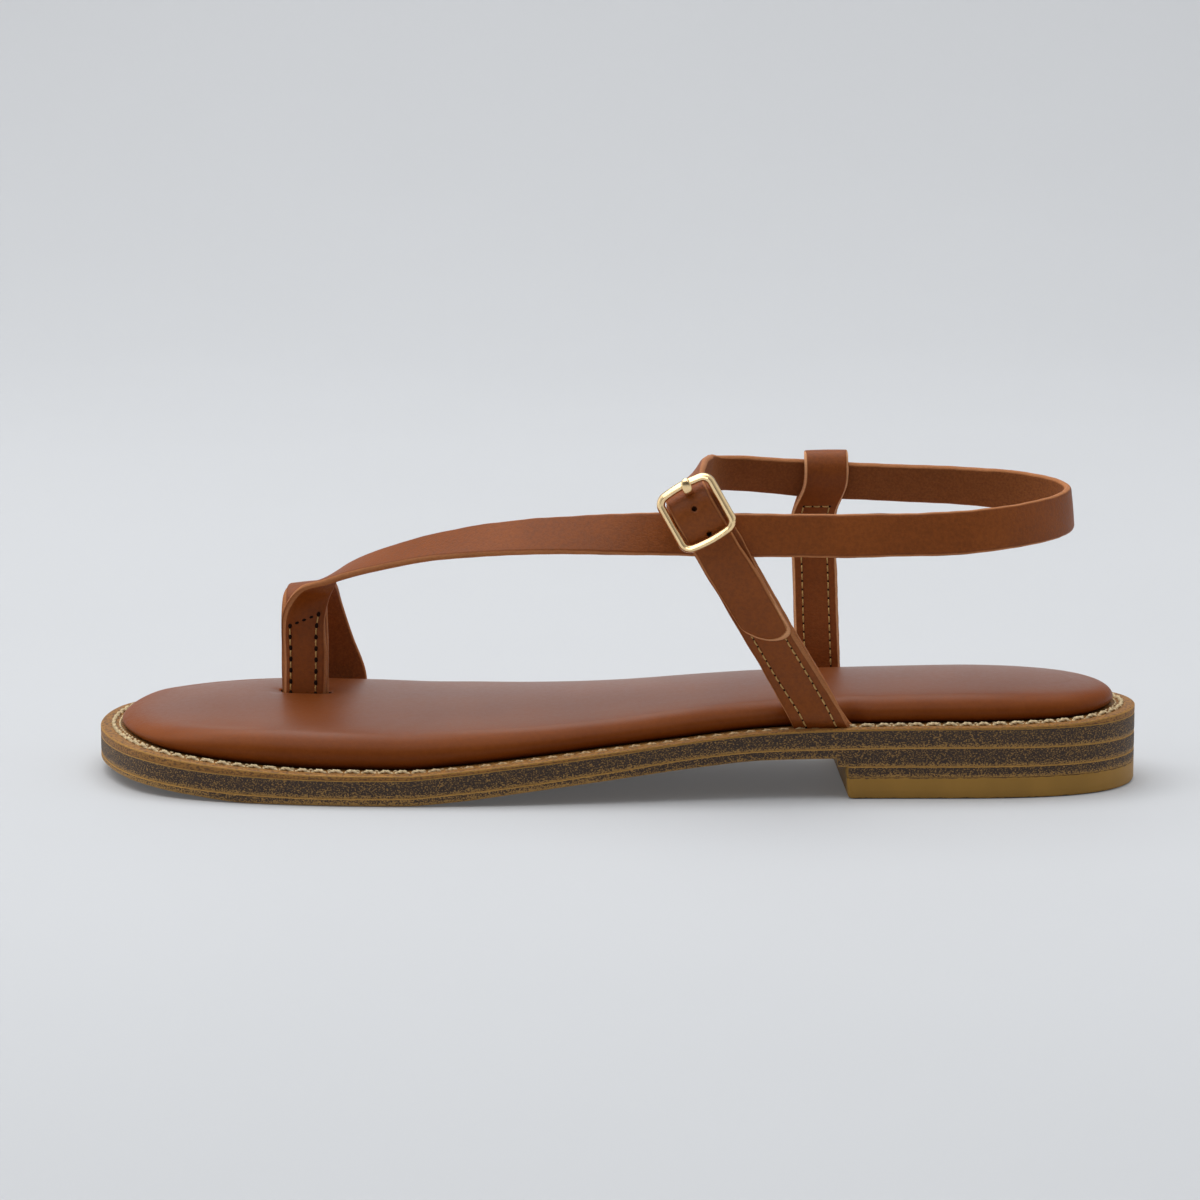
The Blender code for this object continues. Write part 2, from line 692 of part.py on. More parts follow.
def frame_outline():
    """Rounded square of the buckle, with bowed top and bottom bars: places across and along it."""
    half_across, half_along = BUCKLE_ACROSS / 2, BUCKLE_ALONG / 2
    flat_across, flat_along = half_across - BUCKLE_CORNER, half_along - BUCKLE_CORNER
    places = []
    for quarter, (side_u, side_v) in enumerate(((1, 1), (-1, 1), (-1, -1), (1, -1))):
        turns = np.radians(90 * quarter + np.linspace(0, 90, CORNER_STEPS))
        u = side_u * flat_across + BUCKLE_CORNER * np.cos(turns)
        v = side_v * flat_along + BUCKLE_CORNER * np.sin(turns)
        places += list(zip(u, v))
        if quarter % 2 == 0:
            places += [(side_u * flat_across * share, side_v * half_along) for share in (0.5, 0.0, -0.5)]
    u, v = np.array(places).T
    bowed = np.abs(v) > flat_along
    bow = BUCKLE_BOW * np.cos(u / half_across * math.pi / 2)
    return zip(u, v + np.sign(v) * bowed * bow)


def make_buckle():
    gold = material_for("gold_metal", (0.83, 0.62, 0.36), 0.25, 1.0)
    frame = [buckle_point(u, v) for u, v in frame_outline()]
    buckle = add_solid("buckle_frame", rod(frame, BAR_RADIUS, closed=True), gold)
    end = BUCKLE_ACROSS / 2
    bend = CENTRE_BAR_BEND
    bar = [(end, 0.0), (end, CENTRE_BAR_DEPTH - bend), (end - bend, CENTRE_BAR_DEPTH)]
    route = [buckle_point(-u, 0.0, depth) for u, depth in bar]
    route += [buckle_point(u, 0.0, depth) for u, depth in reversed(bar)]
    combine(buckle, add_solid("centre_bar", rod(route, CENTRE_BAR_RADIUS)), "UNION")
    add_solid("buckle_prong", rod(prong_route(PRONG[PRONG_FROM:]), PRONG_RADIUS), gold)


def main():
    for old in list(bpy.data.objects):
        bpy.data.objects.remove(old, do_unlink=True)
    make_sole()
    make_footbed()
    make_upper()
    make_buckle()


main()
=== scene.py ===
"""Looks of the strappy flat sandal: leather straps and padded footbed, speckled layered sole with a
stitched welt, and a pale gold buckle, on a plain pale floor.

Sizes are in millimetres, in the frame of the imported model: toe at -X, lateral side at -Y, +Z up.
A pair of places, such as POST_TURNS, is where a change starts and where it is complete.
"""

import math

import bmesh
import bpy
import numpy as np
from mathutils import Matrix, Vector


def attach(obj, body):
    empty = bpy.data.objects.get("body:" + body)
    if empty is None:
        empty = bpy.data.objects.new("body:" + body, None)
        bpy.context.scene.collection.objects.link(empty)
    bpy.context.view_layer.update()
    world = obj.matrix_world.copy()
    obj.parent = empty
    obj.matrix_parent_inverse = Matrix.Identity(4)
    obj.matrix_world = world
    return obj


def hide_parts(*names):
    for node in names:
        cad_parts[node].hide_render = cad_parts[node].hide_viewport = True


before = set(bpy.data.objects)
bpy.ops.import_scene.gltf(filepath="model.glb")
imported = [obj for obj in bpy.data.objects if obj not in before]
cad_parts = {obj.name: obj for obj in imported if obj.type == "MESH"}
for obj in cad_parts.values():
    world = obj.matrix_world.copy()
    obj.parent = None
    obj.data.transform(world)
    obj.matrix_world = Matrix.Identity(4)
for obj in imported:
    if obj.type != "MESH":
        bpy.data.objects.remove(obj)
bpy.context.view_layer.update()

MM = 0.001

# Camera, fitted to the photograph, whose side is 1200 pixels
IMAGE_SIDE = 1200
CAMERA_TARGET = (-3.2, 0.0, 42.2)
CAMERA_DISTANCE = 1000.0
CAMERA_AZIMUTH = math.radians(2.0)
CAMERA_ELEVATION = math.radians(9.2)
PIXELS_PER_MM = 4.172
SENSOR = 36.0
CAMERA_CLIP = (0.05, 20.0)

# Sole and heel, whose front is its breast. A rounding is an inset, with HALF_ROUND of it left half way,
# and UNDER_ROUND also a rise. SIDE_STEPS are shares of a layer's height, and of that rise.
HALF_LENGTH = 125.0
HEEL_TIP_Y = 0.0
TOE_TIP_Y = 10.0
SIDE_INSET = 0.12
LAYER_ROUND = 0.16
UNDER_ROUND = (1.0, 0.1)
HALF_ROUND = 0.3
FOOT_TURN = 0.06
TOP_TURN = 0.95
SIDE_STEPS = ((0.16, 1.0), (0.4, 0.5), (0.65, 0.0), (0.85, 0.0))
RIM_WIDTH = 5.4
RIM_ROUND = 0.5
RIM_RINGS = (1.2, 2.2, 3.2, 4.2, 5.4, 7.5, 9.0)
RIM_DIP = 0.65
RIM_DIPS = (-5.0, 30.0), (123.0, 107.0)
RIM_LEAST = 0.45
LAYER_JOIN = 0.15
BREAST_X = 53.4
BREAST_PAIR = 0.15
BREAST_NEAR = 0.2
BREAST_STEP = 1.9
BREAST_LEAN = 0.6
BREAST_SLANT = 3.0
BREAST_ROUND = 1.0
FRONT_SHOWS = (0.15, 0.5)
TOP_PIECE_HEIGHT = 5.15
TOP_PIECE_ROUND = 0.8
HEEL_LIFT_TOP = 7.75
HEEL_LIFT_ROUND = 0.12
HEEL_SHARES = (0.45, 0.7, 0.9)
HEEL_TOP_EDGE = ((0.04, 0.06), (0.12, 0.0))

# Footbed: its top, its toe, and the slot for the toe straps with puckers of a depth and a reach
CROWN = 1.3
CROWN_WIDTH = 40.0
FOOTBED_TILT = 0.02
FOOTBED_LIFT = 0.3
FOOTBED_SUNK = 0.5
FOOTBED_TUCK = 0.6
FOOTBED_TYPICAL = 8.0
UPPER_SIDE = 0.4
TOP_LOOSENS = (0.88, 0.98)
TOP_SOFTENS = (0.82, 0.96)
EASING = 0.6
EASING_ROUNDS = 90
TOE_SPREAD = 0.6
TOE_SPREADS = (-80.0, -120.0)
TOE_EVENING = 30
TOE_EVEN_SHARE = 0.25
TOE_EVENS = (-70.0, -95.0)
TOE_EVEN_INSET = 1.5
TOE_SOFTENS = (-76.0, -92.0)
TOE_SOFT_REACH = 4.0
TOE_SOFT_SPAN = 16.0
TOE_SOFT_FROM = 0.3
TOE_SOFT_LEAST = 0.001
TOE_SOFT_PARTS = 40
DENTS_AT_TOP = 0.4
DENTS_DOWN = 0.5
FOLDS_SHOW = (0.3, 0.8)
WRINKLE_FADE = 4.0
WRINKLE_RIDGE = 0.6
WRINKLE_RIDGE_AT = 1.5
SLOT_SHIFT = 0.8
SLOT_SPARE = 1.0
SLOT_HALF_WIDE = 1.95
SLOT_HEIGHTS = (11.5, 16.0, 22.0)
PUCKER_HALF_WIDE = 1.6
PUCKERS = ((0.55, 1.6), (0.15, 5.0))

# Straps, whose edges waver in small waves
STRAP_WIDTH = 10.1
STRAP_THICKNESS = 1.8
STRAP_LINED_TO = 30.0
LINING_FADE = 9.0
TOE_STRAP_WIDTH = 11.0
TOE_STRAP_THICKNESS = 1.6
POST_WIDTH = 10.9
POST_LAYER = 1.2
POST_THICKNESS = 2.4
POST_LEAN = math.radians(29.5)
POST_TURN = math.radians(19.0)
POST_TURNS = (9.0, 25.0)
POST_BEVEL = 0.9
POST_BEVELS = (60.0, 46.0)
LOOP_THICKNESS = 1.3
LOOP_TURN = math.radians(-9.0)
LOOP_TURNS = (57.5, 69.5)
LOOP_SHIFT = 3.8
LOOP_BEVEL = 0.7
LOOP_BEVELS = (-1.0, 2.0)
EDGE_ROUND = 0.8
EDGE_ROUND_SHARE = 0.88
EDGE_SHADE = 0.3
FACE_CROWN = 0.08
BEVEL_DROP = 1.3
BEVEL_PALE = 1.8
BEVEL_LEAST = 0.1
BEVEL_TINY = 0.02
BEVEL_SHOWS = 0.05
BEVEL_STEEP = 3
LEAST_REACH = 0.05
WAVES = 12
WAVE_LENGTHS = (4, 30)
WAVE_TURNS = (0, 6.28)
WAVE_HEIGHTS = (0.01, 0.035)
TAIL_ROUND = 4.4
TAIL_STEPS = 16
TAIL_GAP = 0.4
TAIL_TURN = math.pi / 2 - 0.04
TAIL_WIDER = 0.9
TAIL_WIDENS = (26.0, 14.0)
TAIL_BEVEL = 1.5
TAIL_BEVELS = (14.0, 4.0)
TAIL_BEVEL_SIDE = 0.4
TAIL_BEVEL_ROUNDS = (0.0, 0.6)
TAIL_SKEW = 0.5
TAIL_SKEWS = (16.0, 2.0)
TOE_TURN = math.radians(14.0)
TOE_TURNS = (38.0, 26.0)
TOE_WIDER = 0.9
TOE_WIDENS = (40.0, 30.0)
TOE_BEVEL = 1.3
TOE_BEVELS = (42.0, 30.0)
TOE_STANDING_X = -70.0
TOE_STANDING_Y = 12.0
TOE_STANDING_ROWS = 5

# Buckle, set square to the leaning lateral post, whose line passes POST_TOP
POST_TOP = np.array([20.0, -37.3, 68.7])
BUCKLE_ASIDE = 0.22
BUCKLE_BELOW = 0.22
BUCKLE_ACROSS = 12.96
BUCKLE_ALONG = 13.0
BUCKLE_BOW = 0.63
BUCKLE_CORNER = 1.8
CENTRE_BAR_DEPTH = 3.0
CENTRE_BAR_RADIUS = 0.8
CENTRE_BAR_BEND = 1.2
PRONG_FRONT = -1.85
PRONG_THICKNESS = 1.1
PRONG_TIP = 0.9
PRONG_TIP_LEAST = 0.3
PRONG_SQUARE = (0.7, 0.9)
PUNCHED_HOLES = ((0.3, -0.93), (0.34, 5.87))
PUNCHED_RADIUS = 0.62
PUNCHED_DEPTHS = (0.6, -0.8, -2.6)

# Section of the buckle's bars: across the bar and depth, a ridge in front and rounded behind
BAR_SECTION = (
    (0.0, -1.08),
    (0.45, -0.86),
    (0.78, -0.54),
    (0.96, -0.12),
    (0.97, 0.25),
    (0.86, 0.6),
    (0.5, 0.86),
    (0.0, 0.95),
)

# Plan of the sole: reach to each side of the foot's axis, toe to heel
OUTLINE_COLUMNS = ("x", "lateral", "medial")
OUTLINE = (
    (-121.0, -11.0, 31.0),
    (-112.0, -26.5, 38.0),
    (-98.0, -35.4, 41.3),
    (-80.0, -40.0, 42.0),
    (-55.0, -42.0, 40.6),
    (-25.0, -40.4, 35.2),
    (5.0, -36.0, 28.6),
    (35.0, -31.3, 25.2),
    (65.0, -28.8, 25.6),
    (95.0, -27.0, 26.0),
    (115.0, -19.8, 19.8),
)

# Side of the sole: heights of its layers, toe to heel
LEVEL_COLUMNS = ("x", "underside", "outsole_top", "midsole_top", "rim_top", "footbed_thickness")
LEVELS = (
    (-125.0, 3.2, 4.4, 8.6, 11.0, 2.6),
    (-112.0, 2.3, 3.8, 8.2, 10.4, 4.6),
    (-98.0, 1.0, 2.7, 7.1, 9.1, 7.4),
    (-84.0, 0.0, 2.0, 6.4, 8.1, 9.15),
    (-65.0, 0.0, 1.7, 6.0, 7.4, 9.7),
    (-48.0, 0.0, 1.8, 6.1, 7.4, 9.6),
    (-36.0, 0.9, 2.8, 7.2, 8.3, 9.1),
    (-20.0, 2.9, 4.6, 9.0, 10.0, 8.0),
    (0.0, 5.4, 7.3, 11.3, 12.3, 7.2),
    (22.0, 8.1, 10.4, 14.2, 15.1, 6.8),
    (36.0, 9.3, 11.5, 15.5, 16.3, 6.7),
    (52.0, 9.5, 11.8, 16.1, 16.9, 6.8),
    (80.0, 9.5, 12.1, 16.5, 17.5, 6.8),
    (125.0, 9.5, 11.8, 16.4, 18.3, 4.8),
)

# Padded side of the footbed: inset from its widest line, and share of its thickness;
# the last row only leads the curve on
FOOTBED_SIDE = (
    (1.7, 0.0),
    (0.6, 0.12),
    (0.0, 0.36),
    (0.6, 0.6),
    (2.2, 0.79),
    (5.2, 0.915),
    (10.0, 0.99),
    (16.0, 1.05),
)

# Soft dents in the footbed: middle x, y, reach along x and y, and depth
FOOTBED_DENTS = (
    (57.2, -25.4, 2.4, 3.2, 1.8),
    (44.0, -26.2, 5.0, 3.0, 0.7),
    (49.5, 22.4, 6.5, 3.0, 0.9),
    (-68.7, 36.6, 6.8, 3.0, 0.8),
)
# Soft wrinkles across the footbed's lateral side: x, lean, from y, to y, width and depth
FOOTBED_WRINKLES = (
    (-52.5, 0.25, -37.0, -24.0, 1.5, 0.10),
    (-48.0, 0.35, -37.0, -27.0, 1.3, 0.09),
    (-43.5, 0.30, -36.0, -22.0, 1.6, 0.08),
    (8.0, -0.20, -30.0, -18.0, 1.8, 0.07),
)

# Routes of the straps: middle of the strap, and the direction of its upper or rear edge
LONG_STRAP = (
    (-75.6, 6.0, 9.2, 1.0, 0.0, 0.0),
    (-75.6, 6.0, 18.0, 1.0, 0.0, 0.0),
    (-75.5, 6.0, 30.0, 1.0, 0.0, 0.0),
    (-74.9, 5.6, 37.5, 0.97, 0.2, -0.1),
    (-72.4, 5.0, 43.0, 0.72, 0.68, -0.16),
    (-67.6, 3.2, 46.8, 0.25, 0.96, 0.08),
    (-57.0, -2.9, 51.7, 0.0, 0.97, 0.24),
    (-41.0, -12.3, 56.8, 0.0, 0.89, 0.45),
    (-25.0, -20.6, 60.0, 0.0, 0.77, 0.64),
    (-5.0, -28.0, 62.1, 0.0, 0.6, 0.8),
    (12.0, -31.4, 62.8, 0.0, 0.3, 0.95),
    (30.0, -32.3, 62.8, 0.0, 0.06, 1.0),
    (60.0, -32.0, 62.8, 0.0, 0.16, 0.99),
    (84.0, -27.6, 63.2, -0.05, 0.16, 0.98),
    (101.0, -16.5, 64.3, -0.1, 0.1, 0.99),
    (108.4, 0.0, 65.4, -0.1, 0.0, 1.0),
    (102.0, 14.6, 66.3, -0.1, -0.1, 0.99),
    (88.0, 23.0, 66.9, -0.05, -0.28, 0.96),
    (69.0, 26.7, 67.3, 0.0, -0.38, 0.93),
    (50.0, 27.4, 68.0, 0.0, -0.36, 0.93),
    (34.0, 27.0, 69.2, 0.0, -0.44, 0.9),
    (26.4, 24.8, 69.8, 0.0, -0.46, 0.89),
    (23.4, 19.0, 70.4, 0.03, -0.3, 0.95),
    (21.8, 7.0, 71.4, 0.24, -0.05, 0.97),
    (19.7, -8.0, 72.9, 0.48, 0.05, 0.88),
    (18.3, -21.0, 73.6, 0.7, 0.06, 0.71),
)
# The same strap over the buckle: distance along the post from its top, and depth
BUCKLED_END = (
    (-5.6, -30.6),
    (-4.9, -33.9),
    (-2.8, -36.5),
    (0.0, -37.4),
    (3.4, -36.7),
    (7.0, -35.3),
    (12.0, -35.0),
    (16.0, -34.3),
    (21.0, -33.3),
    (28.0, -31.9),
    (35.9, -30.4),
)

TOE_STRAP = (
    (-75.6, 7.55, 9.2, 1.0, 0.0, 0.0),
    (-75.6, 7.55, 18.0, 1.0, 0.0, 0.0),
    (-75.5, 7.55, 29.0, 1.0, 0.0, 0.02),
    (-75.3, 8.3, 36.6, 1.0, 0.0, 0.05),
    (-75.2, 10.6, 41.2, 1.0, 0.0, 0.08),
    (-74.6, 15.4, 42.9, 1.0, 0.0, 0.1),
    (-74.2, 21.6, 41.9, 1.0, 0.0, 0.1),
    (-74.0, 28.4, 38.0, 1.0, 0.0, 0.12),
    (-72.9, 33.6, 31.6, 1.0, 0.0, 0.2),
    (-70.9, 36.6, 24.0, 1.0, 0.0, 0.22),
    (-68.5, 37.7, 17.0, 1.0, 0.0, 0.15),
    (-68.3, 37.4, 12.2, 1.0, 0.0, 0.0),
    (-68.7, 35.6, 9.4, 1.0, 0.0, 0.0),
    (-68.7, 32.2, 8.7, 1.0, 0.0, 0.0),
    (-68.7, 26.0, 8.65, 1.0, 0.0, 0.0),
)

# Posts, from the tab under the footbed up: place along the post, depth of its middle, and thickness.
# The lateral post is measured down from its top, the medial one by height.
LATERAL_POST = (
    (61.3, -13.0, POST_THICKNESS),
    (61.3, -20.0, POST_THICKNESS),
    (60.8, -24.6, POST_THICKNESS),
    (58.4, -26.3, POST_THICKNESS),
    (52.5, -26.4, POST_THICKNESS),
    (36.5, -28.6, POST_THICKNESS),
    (21.5, -31.1, POST_THICKNESS),
    (14.6, -32.4, 1.9),
    (8.0, -33.75, LOOP_THICKNESS),
    (3.5, -35.4, LOOP_THICKNESS),
    (0.0, -36.1, LOOP_THICKNESS),
    (-2.2, -35.6, LOOP_THICKNESS),
)
LATERAL_LOOP = (
    (-3.4, -34.5),
    (-3.7, -32.3),
    (-1.2, -30.95),
    (7.0, -30.9),
    (14.0, -30.6),
)
LATERAL_SQUARE = 40.0
LATERAL_LEVEL = 56.0
LATERAL_WIDER = 0.8
MEDIAL_POST = (
    (18.4, 9.0, POST_THICKNESS),
    (18.4, 15.0, POST_THICKNESS),
    (18.8, 19.4, POST_THICKNESS),
    (20.7, 21.2, POST_THICKNESS),
    (24.0, 21.8, POST_THICKNESS),
    (38.0, 24.2, POST_THICKNESS),
    (50.0, 26.4, POST_THICKNESS),
    (58.0, 28.9, 1.9),
    (63.0, 30.8, LOOP_THICKNESS),
    (72.6, 28.9, LOOP_THICKNESS),
)
MEDIAL_LOOP = (
    (74.4, 27.9),
    (74.4, 25.4),
    (72.2, 23.7),
    (66.5, 24.0),
    (61.0, 25.8),
    (57.0, 26.4),
)
MEDIAL_FOOT = (49.5, 22.0)
MEDIAL_LEAN = -0.042

# Prong: across the buckle, along it past the top bar, depth past the bar's front, and width
PRONG = (
    (0.65, 3.2, 6.6, 2.0),
    (0.7, 2.75, 4.6, 2.1),
    (0.75, 2.4, 2.8, 2.2),
    (0.85, 1.95, 1.1, 2.2),
    (1.0, 1.1, 0.1, 2.3),
    (1.25, -0.2, -0.1, 2.2),
    (1.45, -1.35, 0.35, 1.8),
)

# Sewing: pitch and sizes of stitches, and heights between which the seams run
STITCH_SIZES = ("Length", "Rise", "Sink", "Thread", "Lobes", "Turns")
ROPE_INSET = 3.3
ROPE_PITCH = 3.9
ROPE_SUNK = 0.4
ROPE_SINKS = (-48.0, -32.0), (62.0, 48.0)
ROPE = (3.4, 0.84, 0.5, 0.5, 0.18, 1.3)
BEAD_INSET = 4.75
BEAD_PITCH = 2.2
BEADS = (0.7, 0.25, 0.05, 0.26, 0.0, 0.0)
SEAM_INSET = 2.3
LATERAL_SEAM = (16.9, 52.0)
MEDIAL_SEAM = (22.6, 61.8)
POST_PITCH = 2.08
POST_THREAD = (1.45, 0.26, 0.08, 0.18, 0.12, 0.8)
POST_HOLE = 0.3
TOE_SEAM = (17.6, 34.4, 37.6)
TOE_SEAM_END = 40.0
TOE_PITCH = 2.82
TOE_THREAD = (1.6, 0.26, 0.12, 0.18, 0.12, 0.8)
TOE_HOLE = 0.6
TOE_TOP_PITCH = 0.62 * TOE_PITCH
TOE_TOP_HOLE = 0.75 * TOE_HOLE
HOLE_SHAPE = (1.15, 0.75, 0.3)

# Samples
HALF_OUTLINE_STEPS = 240
HEEL_STEPS = 90
BREAST_TURNS = 6
FOOTBED_COLUMNS = 44
FOOTBED_SIDE_STEPS = 32
STRAP_STEP = 1.1
FACE_STEPS = 16
CORNER_TURNS = 4
STITCH_STEPS = 9
STITCH_TURNS = 9
STITCH_PLIES = 3
STITCH_END = 0.45
PRONG_STEPS = 40
BACKDROP_STEPS = 24

# Colours as seen on a screen, 0 to 255
COGNAC = (142, 73, 21)
COGNAC_DEEP = (134, 68, 19)
CUT_EDGE = (184, 118, 70)
FLESH = (154, 89, 41)
FLESH_DARK = (132, 75, 34)
FOOTBED_TAN = (135, 68, 18)
FOOTBED_DEEP = (127, 62, 14)
PALE_EDGE = (226, 164, 116)
# Painted shade, in the footbed's tuck and in specks inside holes
DEEP_SHADE = (48, 20, 6)
SOLE_DARK = (60, 46, 38)
SOLE_GOLD = (172, 130, 70)
SOLE_LINE = (200, 148, 68)
WELT_TAN = (162, 112, 50)
WELT_FLECK = (82, 54, 34)
MUSTARD = (166, 123, 51)
CONTACT_SHADE = (42, 32, 22)
CREAM = (234, 210, 166)
CREAM_SHADE = (176, 124, 64)
TAN_THREAD = (222, 178, 110)
HOLE_DARK = (12, 8, 5)
PALE_GOLD = (255, 221, 168)
FLOOR_GREY = (196, 198, 201)

# Low and high of most noise
NOISE_SPREAD = (0.3, 0.7)


def screen(colour):
    """Linear light of a colour as seen on a screen."""
    share = np.array(colour) / 255
    return (*np.where(share > 0.04045, ((share + 0.055) / 1.055) ** 2.4, share / 12.92), 1.0)


class Wire:
    """A value in a node tree; arithmetic on it adds Math nodes."""

    def __init__(self, tree, socket):
        self.tree = tree
        self.socket = socket

    def math(self, operation, *terms):
        node = self.tree.nodes.new("ShaderNodeMath")
        node.operation = operation
        for entry, term in zip(node.inputs, terms):
            connect(self.tree, entry, term)
        return Wire(self.tree, node.outputs[0])

    def __add__(self, other):
        return self.math("ADD", self, other)

    def __sub__(self, other):
        return self.math("SUBTRACT", self, other)

    def __rsub__(self, other):
        return self.math("SUBTRACT", other, self)

    def __mul__(self, other):
        return self.math("MULTIPLY", self, other)

    def least(self, other):
        return self.math("MINIMUM", self, other)

    def most(self, other):
        return self.math("MAXIMUM", self, other)

    __radd__ = __add__
    __rmul__ = __mul__


def connect(tree, entry, value):
    if isinstance(value, Wire):
        tree.links.new(value.socket, entry)
    else:
        entry.default_value = value


class Graph:
    """A node tree under construction, whose nodes all come from one method."""

    def __init__(self, tree):
        self.tree = tree

    def add(self, kind, inputs=None, **settings):
        """A node by its type, the values or links of its sockets, and its settings; gives its outputs."""
        node = self.tree.nodes.new(kind)
        for name, value in settings.items():
            setattr(node, name, value)
        for key, value in (inputs or {}).items():
            connect(self.tree, node.inputs[key], value)
        return {key: Wire(self.tree, out) for key, out in node.outputs.items() if out.enabled}

    def axes(self, vector):
        return self.add("ShaderNodeSeparateXYZ", {"Vector": vector})

    def ramp(self, value, low, high, start=0.0, end=1.0):
        """Smooth step of a value from start at low to end at high."""
        inputs = {"Value": value, "From Min": low, "From Max": high, "To Min": start, "To Max": end}
        return self.add("ShaderNodeMapRange", inputs, interpolation_type="SMOOTHSTEP")["Result"]


class Finish(Graph):
    """A material under construction."""

    def __init__(self, name, **constants):
        self.material = bpy.data.materials.new(name)
        self.material.use_nodes = True
        super().__init__(self.material.node_tree)
        self.fill(constants)
        self.place = self.add("ShaderNodeTexCoord")["Object"]
        self.normal = None

    def fill(self, values):
        """Sets or links sockets of the shader, by name."""
        sockets = self.tree.nodes["Principled BSDF"].inputs
        for name, value in values.items():
            connect(self.tree, sockets[name.replace("_", " ")], value)

    def read(self, name):
        return self.add("ShaderNodeAttribute", attribute_name=name)["Fac"]

    def stretched(self, x, y, z):
        """Object coordinates with each axis scaled, so that a pattern is drawn out along the others."""
        inputs = {0: self.place, 1: (x, y, z)}
        return self.add("ShaderNodeVectorMath", inputs, operation="MULTIPLY")["Vector"]

    def noise(self, size, detail=3.0, roughness=0.55, at=None):
        """Soft noise with features of about a size in millimetres."""
        scale = 1 / (size * MM)
        inputs = {"Vector": at or self.place, "Scale": scale, "Detail": detail, "Roughness": roughness}
        return self.add("ShaderNodeTexNoise", inputs)["Fac"]

    def cells(self, size, at=None):
        """Distance from the edges of cells of about a size in millimetres."""
        inputs = {"Vector": at or self.place, "Scale": 1 / (size * MM), "Randomness": 1.0}
        return self.add("ShaderNodeTexVoronoi", inputs, feature="DISTANCE_TO_EDGE")["Distance"]

    def mix(self, kind, share, *colours):
        """Two colours, each of the screen or a wire, brought together."""
        first, second = (c if isinstance(c, Wire) else screen(c) for c in colours)
        inputs = {0: share, 6: first, 7: second}
        return self.add("ShaderNodeMix", inputs, data_type="RGBA", blend_type=kind)["Result"]

    def blend(self, share, first, second):
        return self.mix("MIX", share, first, second)

    def shaded(self, colour, share):
        """A colour made darker or lighter by a factor that varies."""
        grey = self.add("ShaderNodeCombineColor", {0: share, 1: share, 2: share})["Color"]
        return self.mix("MULTIPLY", 1.0, colour, grey)

    def varied(self, colour, noise, least, most):
        """A colour made darker where a noise is low and lighter where it is high."""
        return self.shaded(colour, self.ramp(noise, *NOISE_SPREAD, least, most))

    def bump(self, height, depth, strength=1.0):
        """Relief of a depth in millimetres, over what was bumped before."""
        inputs = {"Height": height, "Distance": depth * MM, "Strength": strength}
        if self.normal is not None:
            inputs["Normal"] = self.normal
        self.normal = self.add("ShaderNodeBump", inputs)["Normal"]

    def done(self, **varying):
        self.fill(varying)
        if self.normal is not None:
            self.fill({"Normal": self.normal})
        return self.material


def strap_leather():
    """Smooth cognac leather: grain side, brushed flesh side and lighter cut edges."""
    leather = Finish("strap_leather", Specular_IOR_Level=0.22)
    wall = leather.read("wall")
    cloud = leather.noise(16.0, 2.0)
    mottle = leather.noise(0.9, 4.0, 0.65)
    nap = leather.noise(0.6, 4.0, 0.65)
    fibre = leather.noise(0.5, 4.0, 0.7, leather.stretched(0.5, 0.5, 2.0))
    grain_side = leather.blend(leather.ramp(cloud, 0.35, 0.68), COGNAC_DEEP, COGNAC)
    grain_side = leather.varied(grain_side, mottle, 0.86, 1.1)
    flesh_side = leather.blend(leather.ramp(nap, 0.34, 0.68), FLESH_DARK, FLESH)
    edge = leather.blend(leather.ramp(wall, 1.1, 1.6), CUT_EDGE, PALE_EDGE)
    edge = leather.shaded(edge, leather.ramp(fibre, 0.3, 0.72, 0.84, 1.06))
    on_flesh = leather.ramp(leather.read("flesh"), 0.55, 0.75)
    on_wall = leather.ramp(wall, 0.34, 0.72)
    colour = leather.blend(on_flesh, grain_side, flesh_side)
    # Painted shade: a thin darker line just inside each edge, where an edge crease would lie in shade
    edge_crease_shade = leather.ramp(wall, 0.02, 0.2) * leather.ramp(wall, 0.25, 0.4, 1.0, 0.0)
    colour = leather.shaded(colour, 1 - 0.14 * edge_crease_shade)
    colour = leather.blend(on_wall, colour, edge)
    rough = 0.42 + 0.1 * leather.ramp(mottle, *NOISE_SPREAD) + 0.26 * on_flesh.most(0.5 * on_wall)
    wrinkle = leather.cells(1.1, leather.stretched(1.0, 1.0, 1.3))
    leather.bump(leather.ramp(wrinkle, 0.0, 0.22), 0.035, 0.5)
    leather.bump(leather.noise(0.35, 2.0, 0.6), 0.06, 0.6)
    leather.bump(fibre * on_wall.most(on_flesh), 0.12, 0.7)
    return leather.done(Base_Color=colour, Roughness=rough)


def footbed_leather():
    """Smooth padded leather with a soft sheen, with painted shade where it tucks under and a little on its
    top.
    """
    leather = Finish("footbed_leather", Specular_IOR_Level=0.14, Coat_Roughness=0.36, Coat_IOR=1.35)
    up = leather.read("up")
    cloud = leather.noise(22.0, 2.0)
    mottle = leather.noise(1.2, 4.0, 0.6)
    colour = leather.blend(leather.ramp(cloud, 0.34, 0.7), FOOTBED_DEEP, FOOTBED_TAN)
    colour = leather.varied(colour, mottle, 0.95, 1.04)
    # Painted shade: the top is a little darker, to offset the coat's sheen there
    colour = leather.shaded(colour, leather.ramp(up, 0.75, 1.0, 1.0, 0.84))
    # Painted shade where the side tucks under, at the rim
    colour = leather.blend(leather.ramp(up, 0.0, 0.22, 0.9, 0.0), colour, DEEP_SHADE)
    rough = 0.36 + 0.08 * leather.ramp(mottle, *NOISE_SPREAD) + 0.05 * cloud
    leather.bump(leather.ramp(leather.cells(0.8), 0.0, 0.2), 0.025, 0.4)
    leather.bump(leather.noise(0.4, 2.0), 0.03, 0.4)
    leather.bump(leather.noise(9.0, 2.0), 0.25, 0.3)
    along = leather.axes(leather.place)["X"]
    gloss = leather.ramp(up, 0.7, 1.0) * leather.ramp(along, -0.1, -0.03, 0.64, 0.78)
    return leather.done(Base_Color=colour, Roughness=rough, Coat_Weight=gloss)


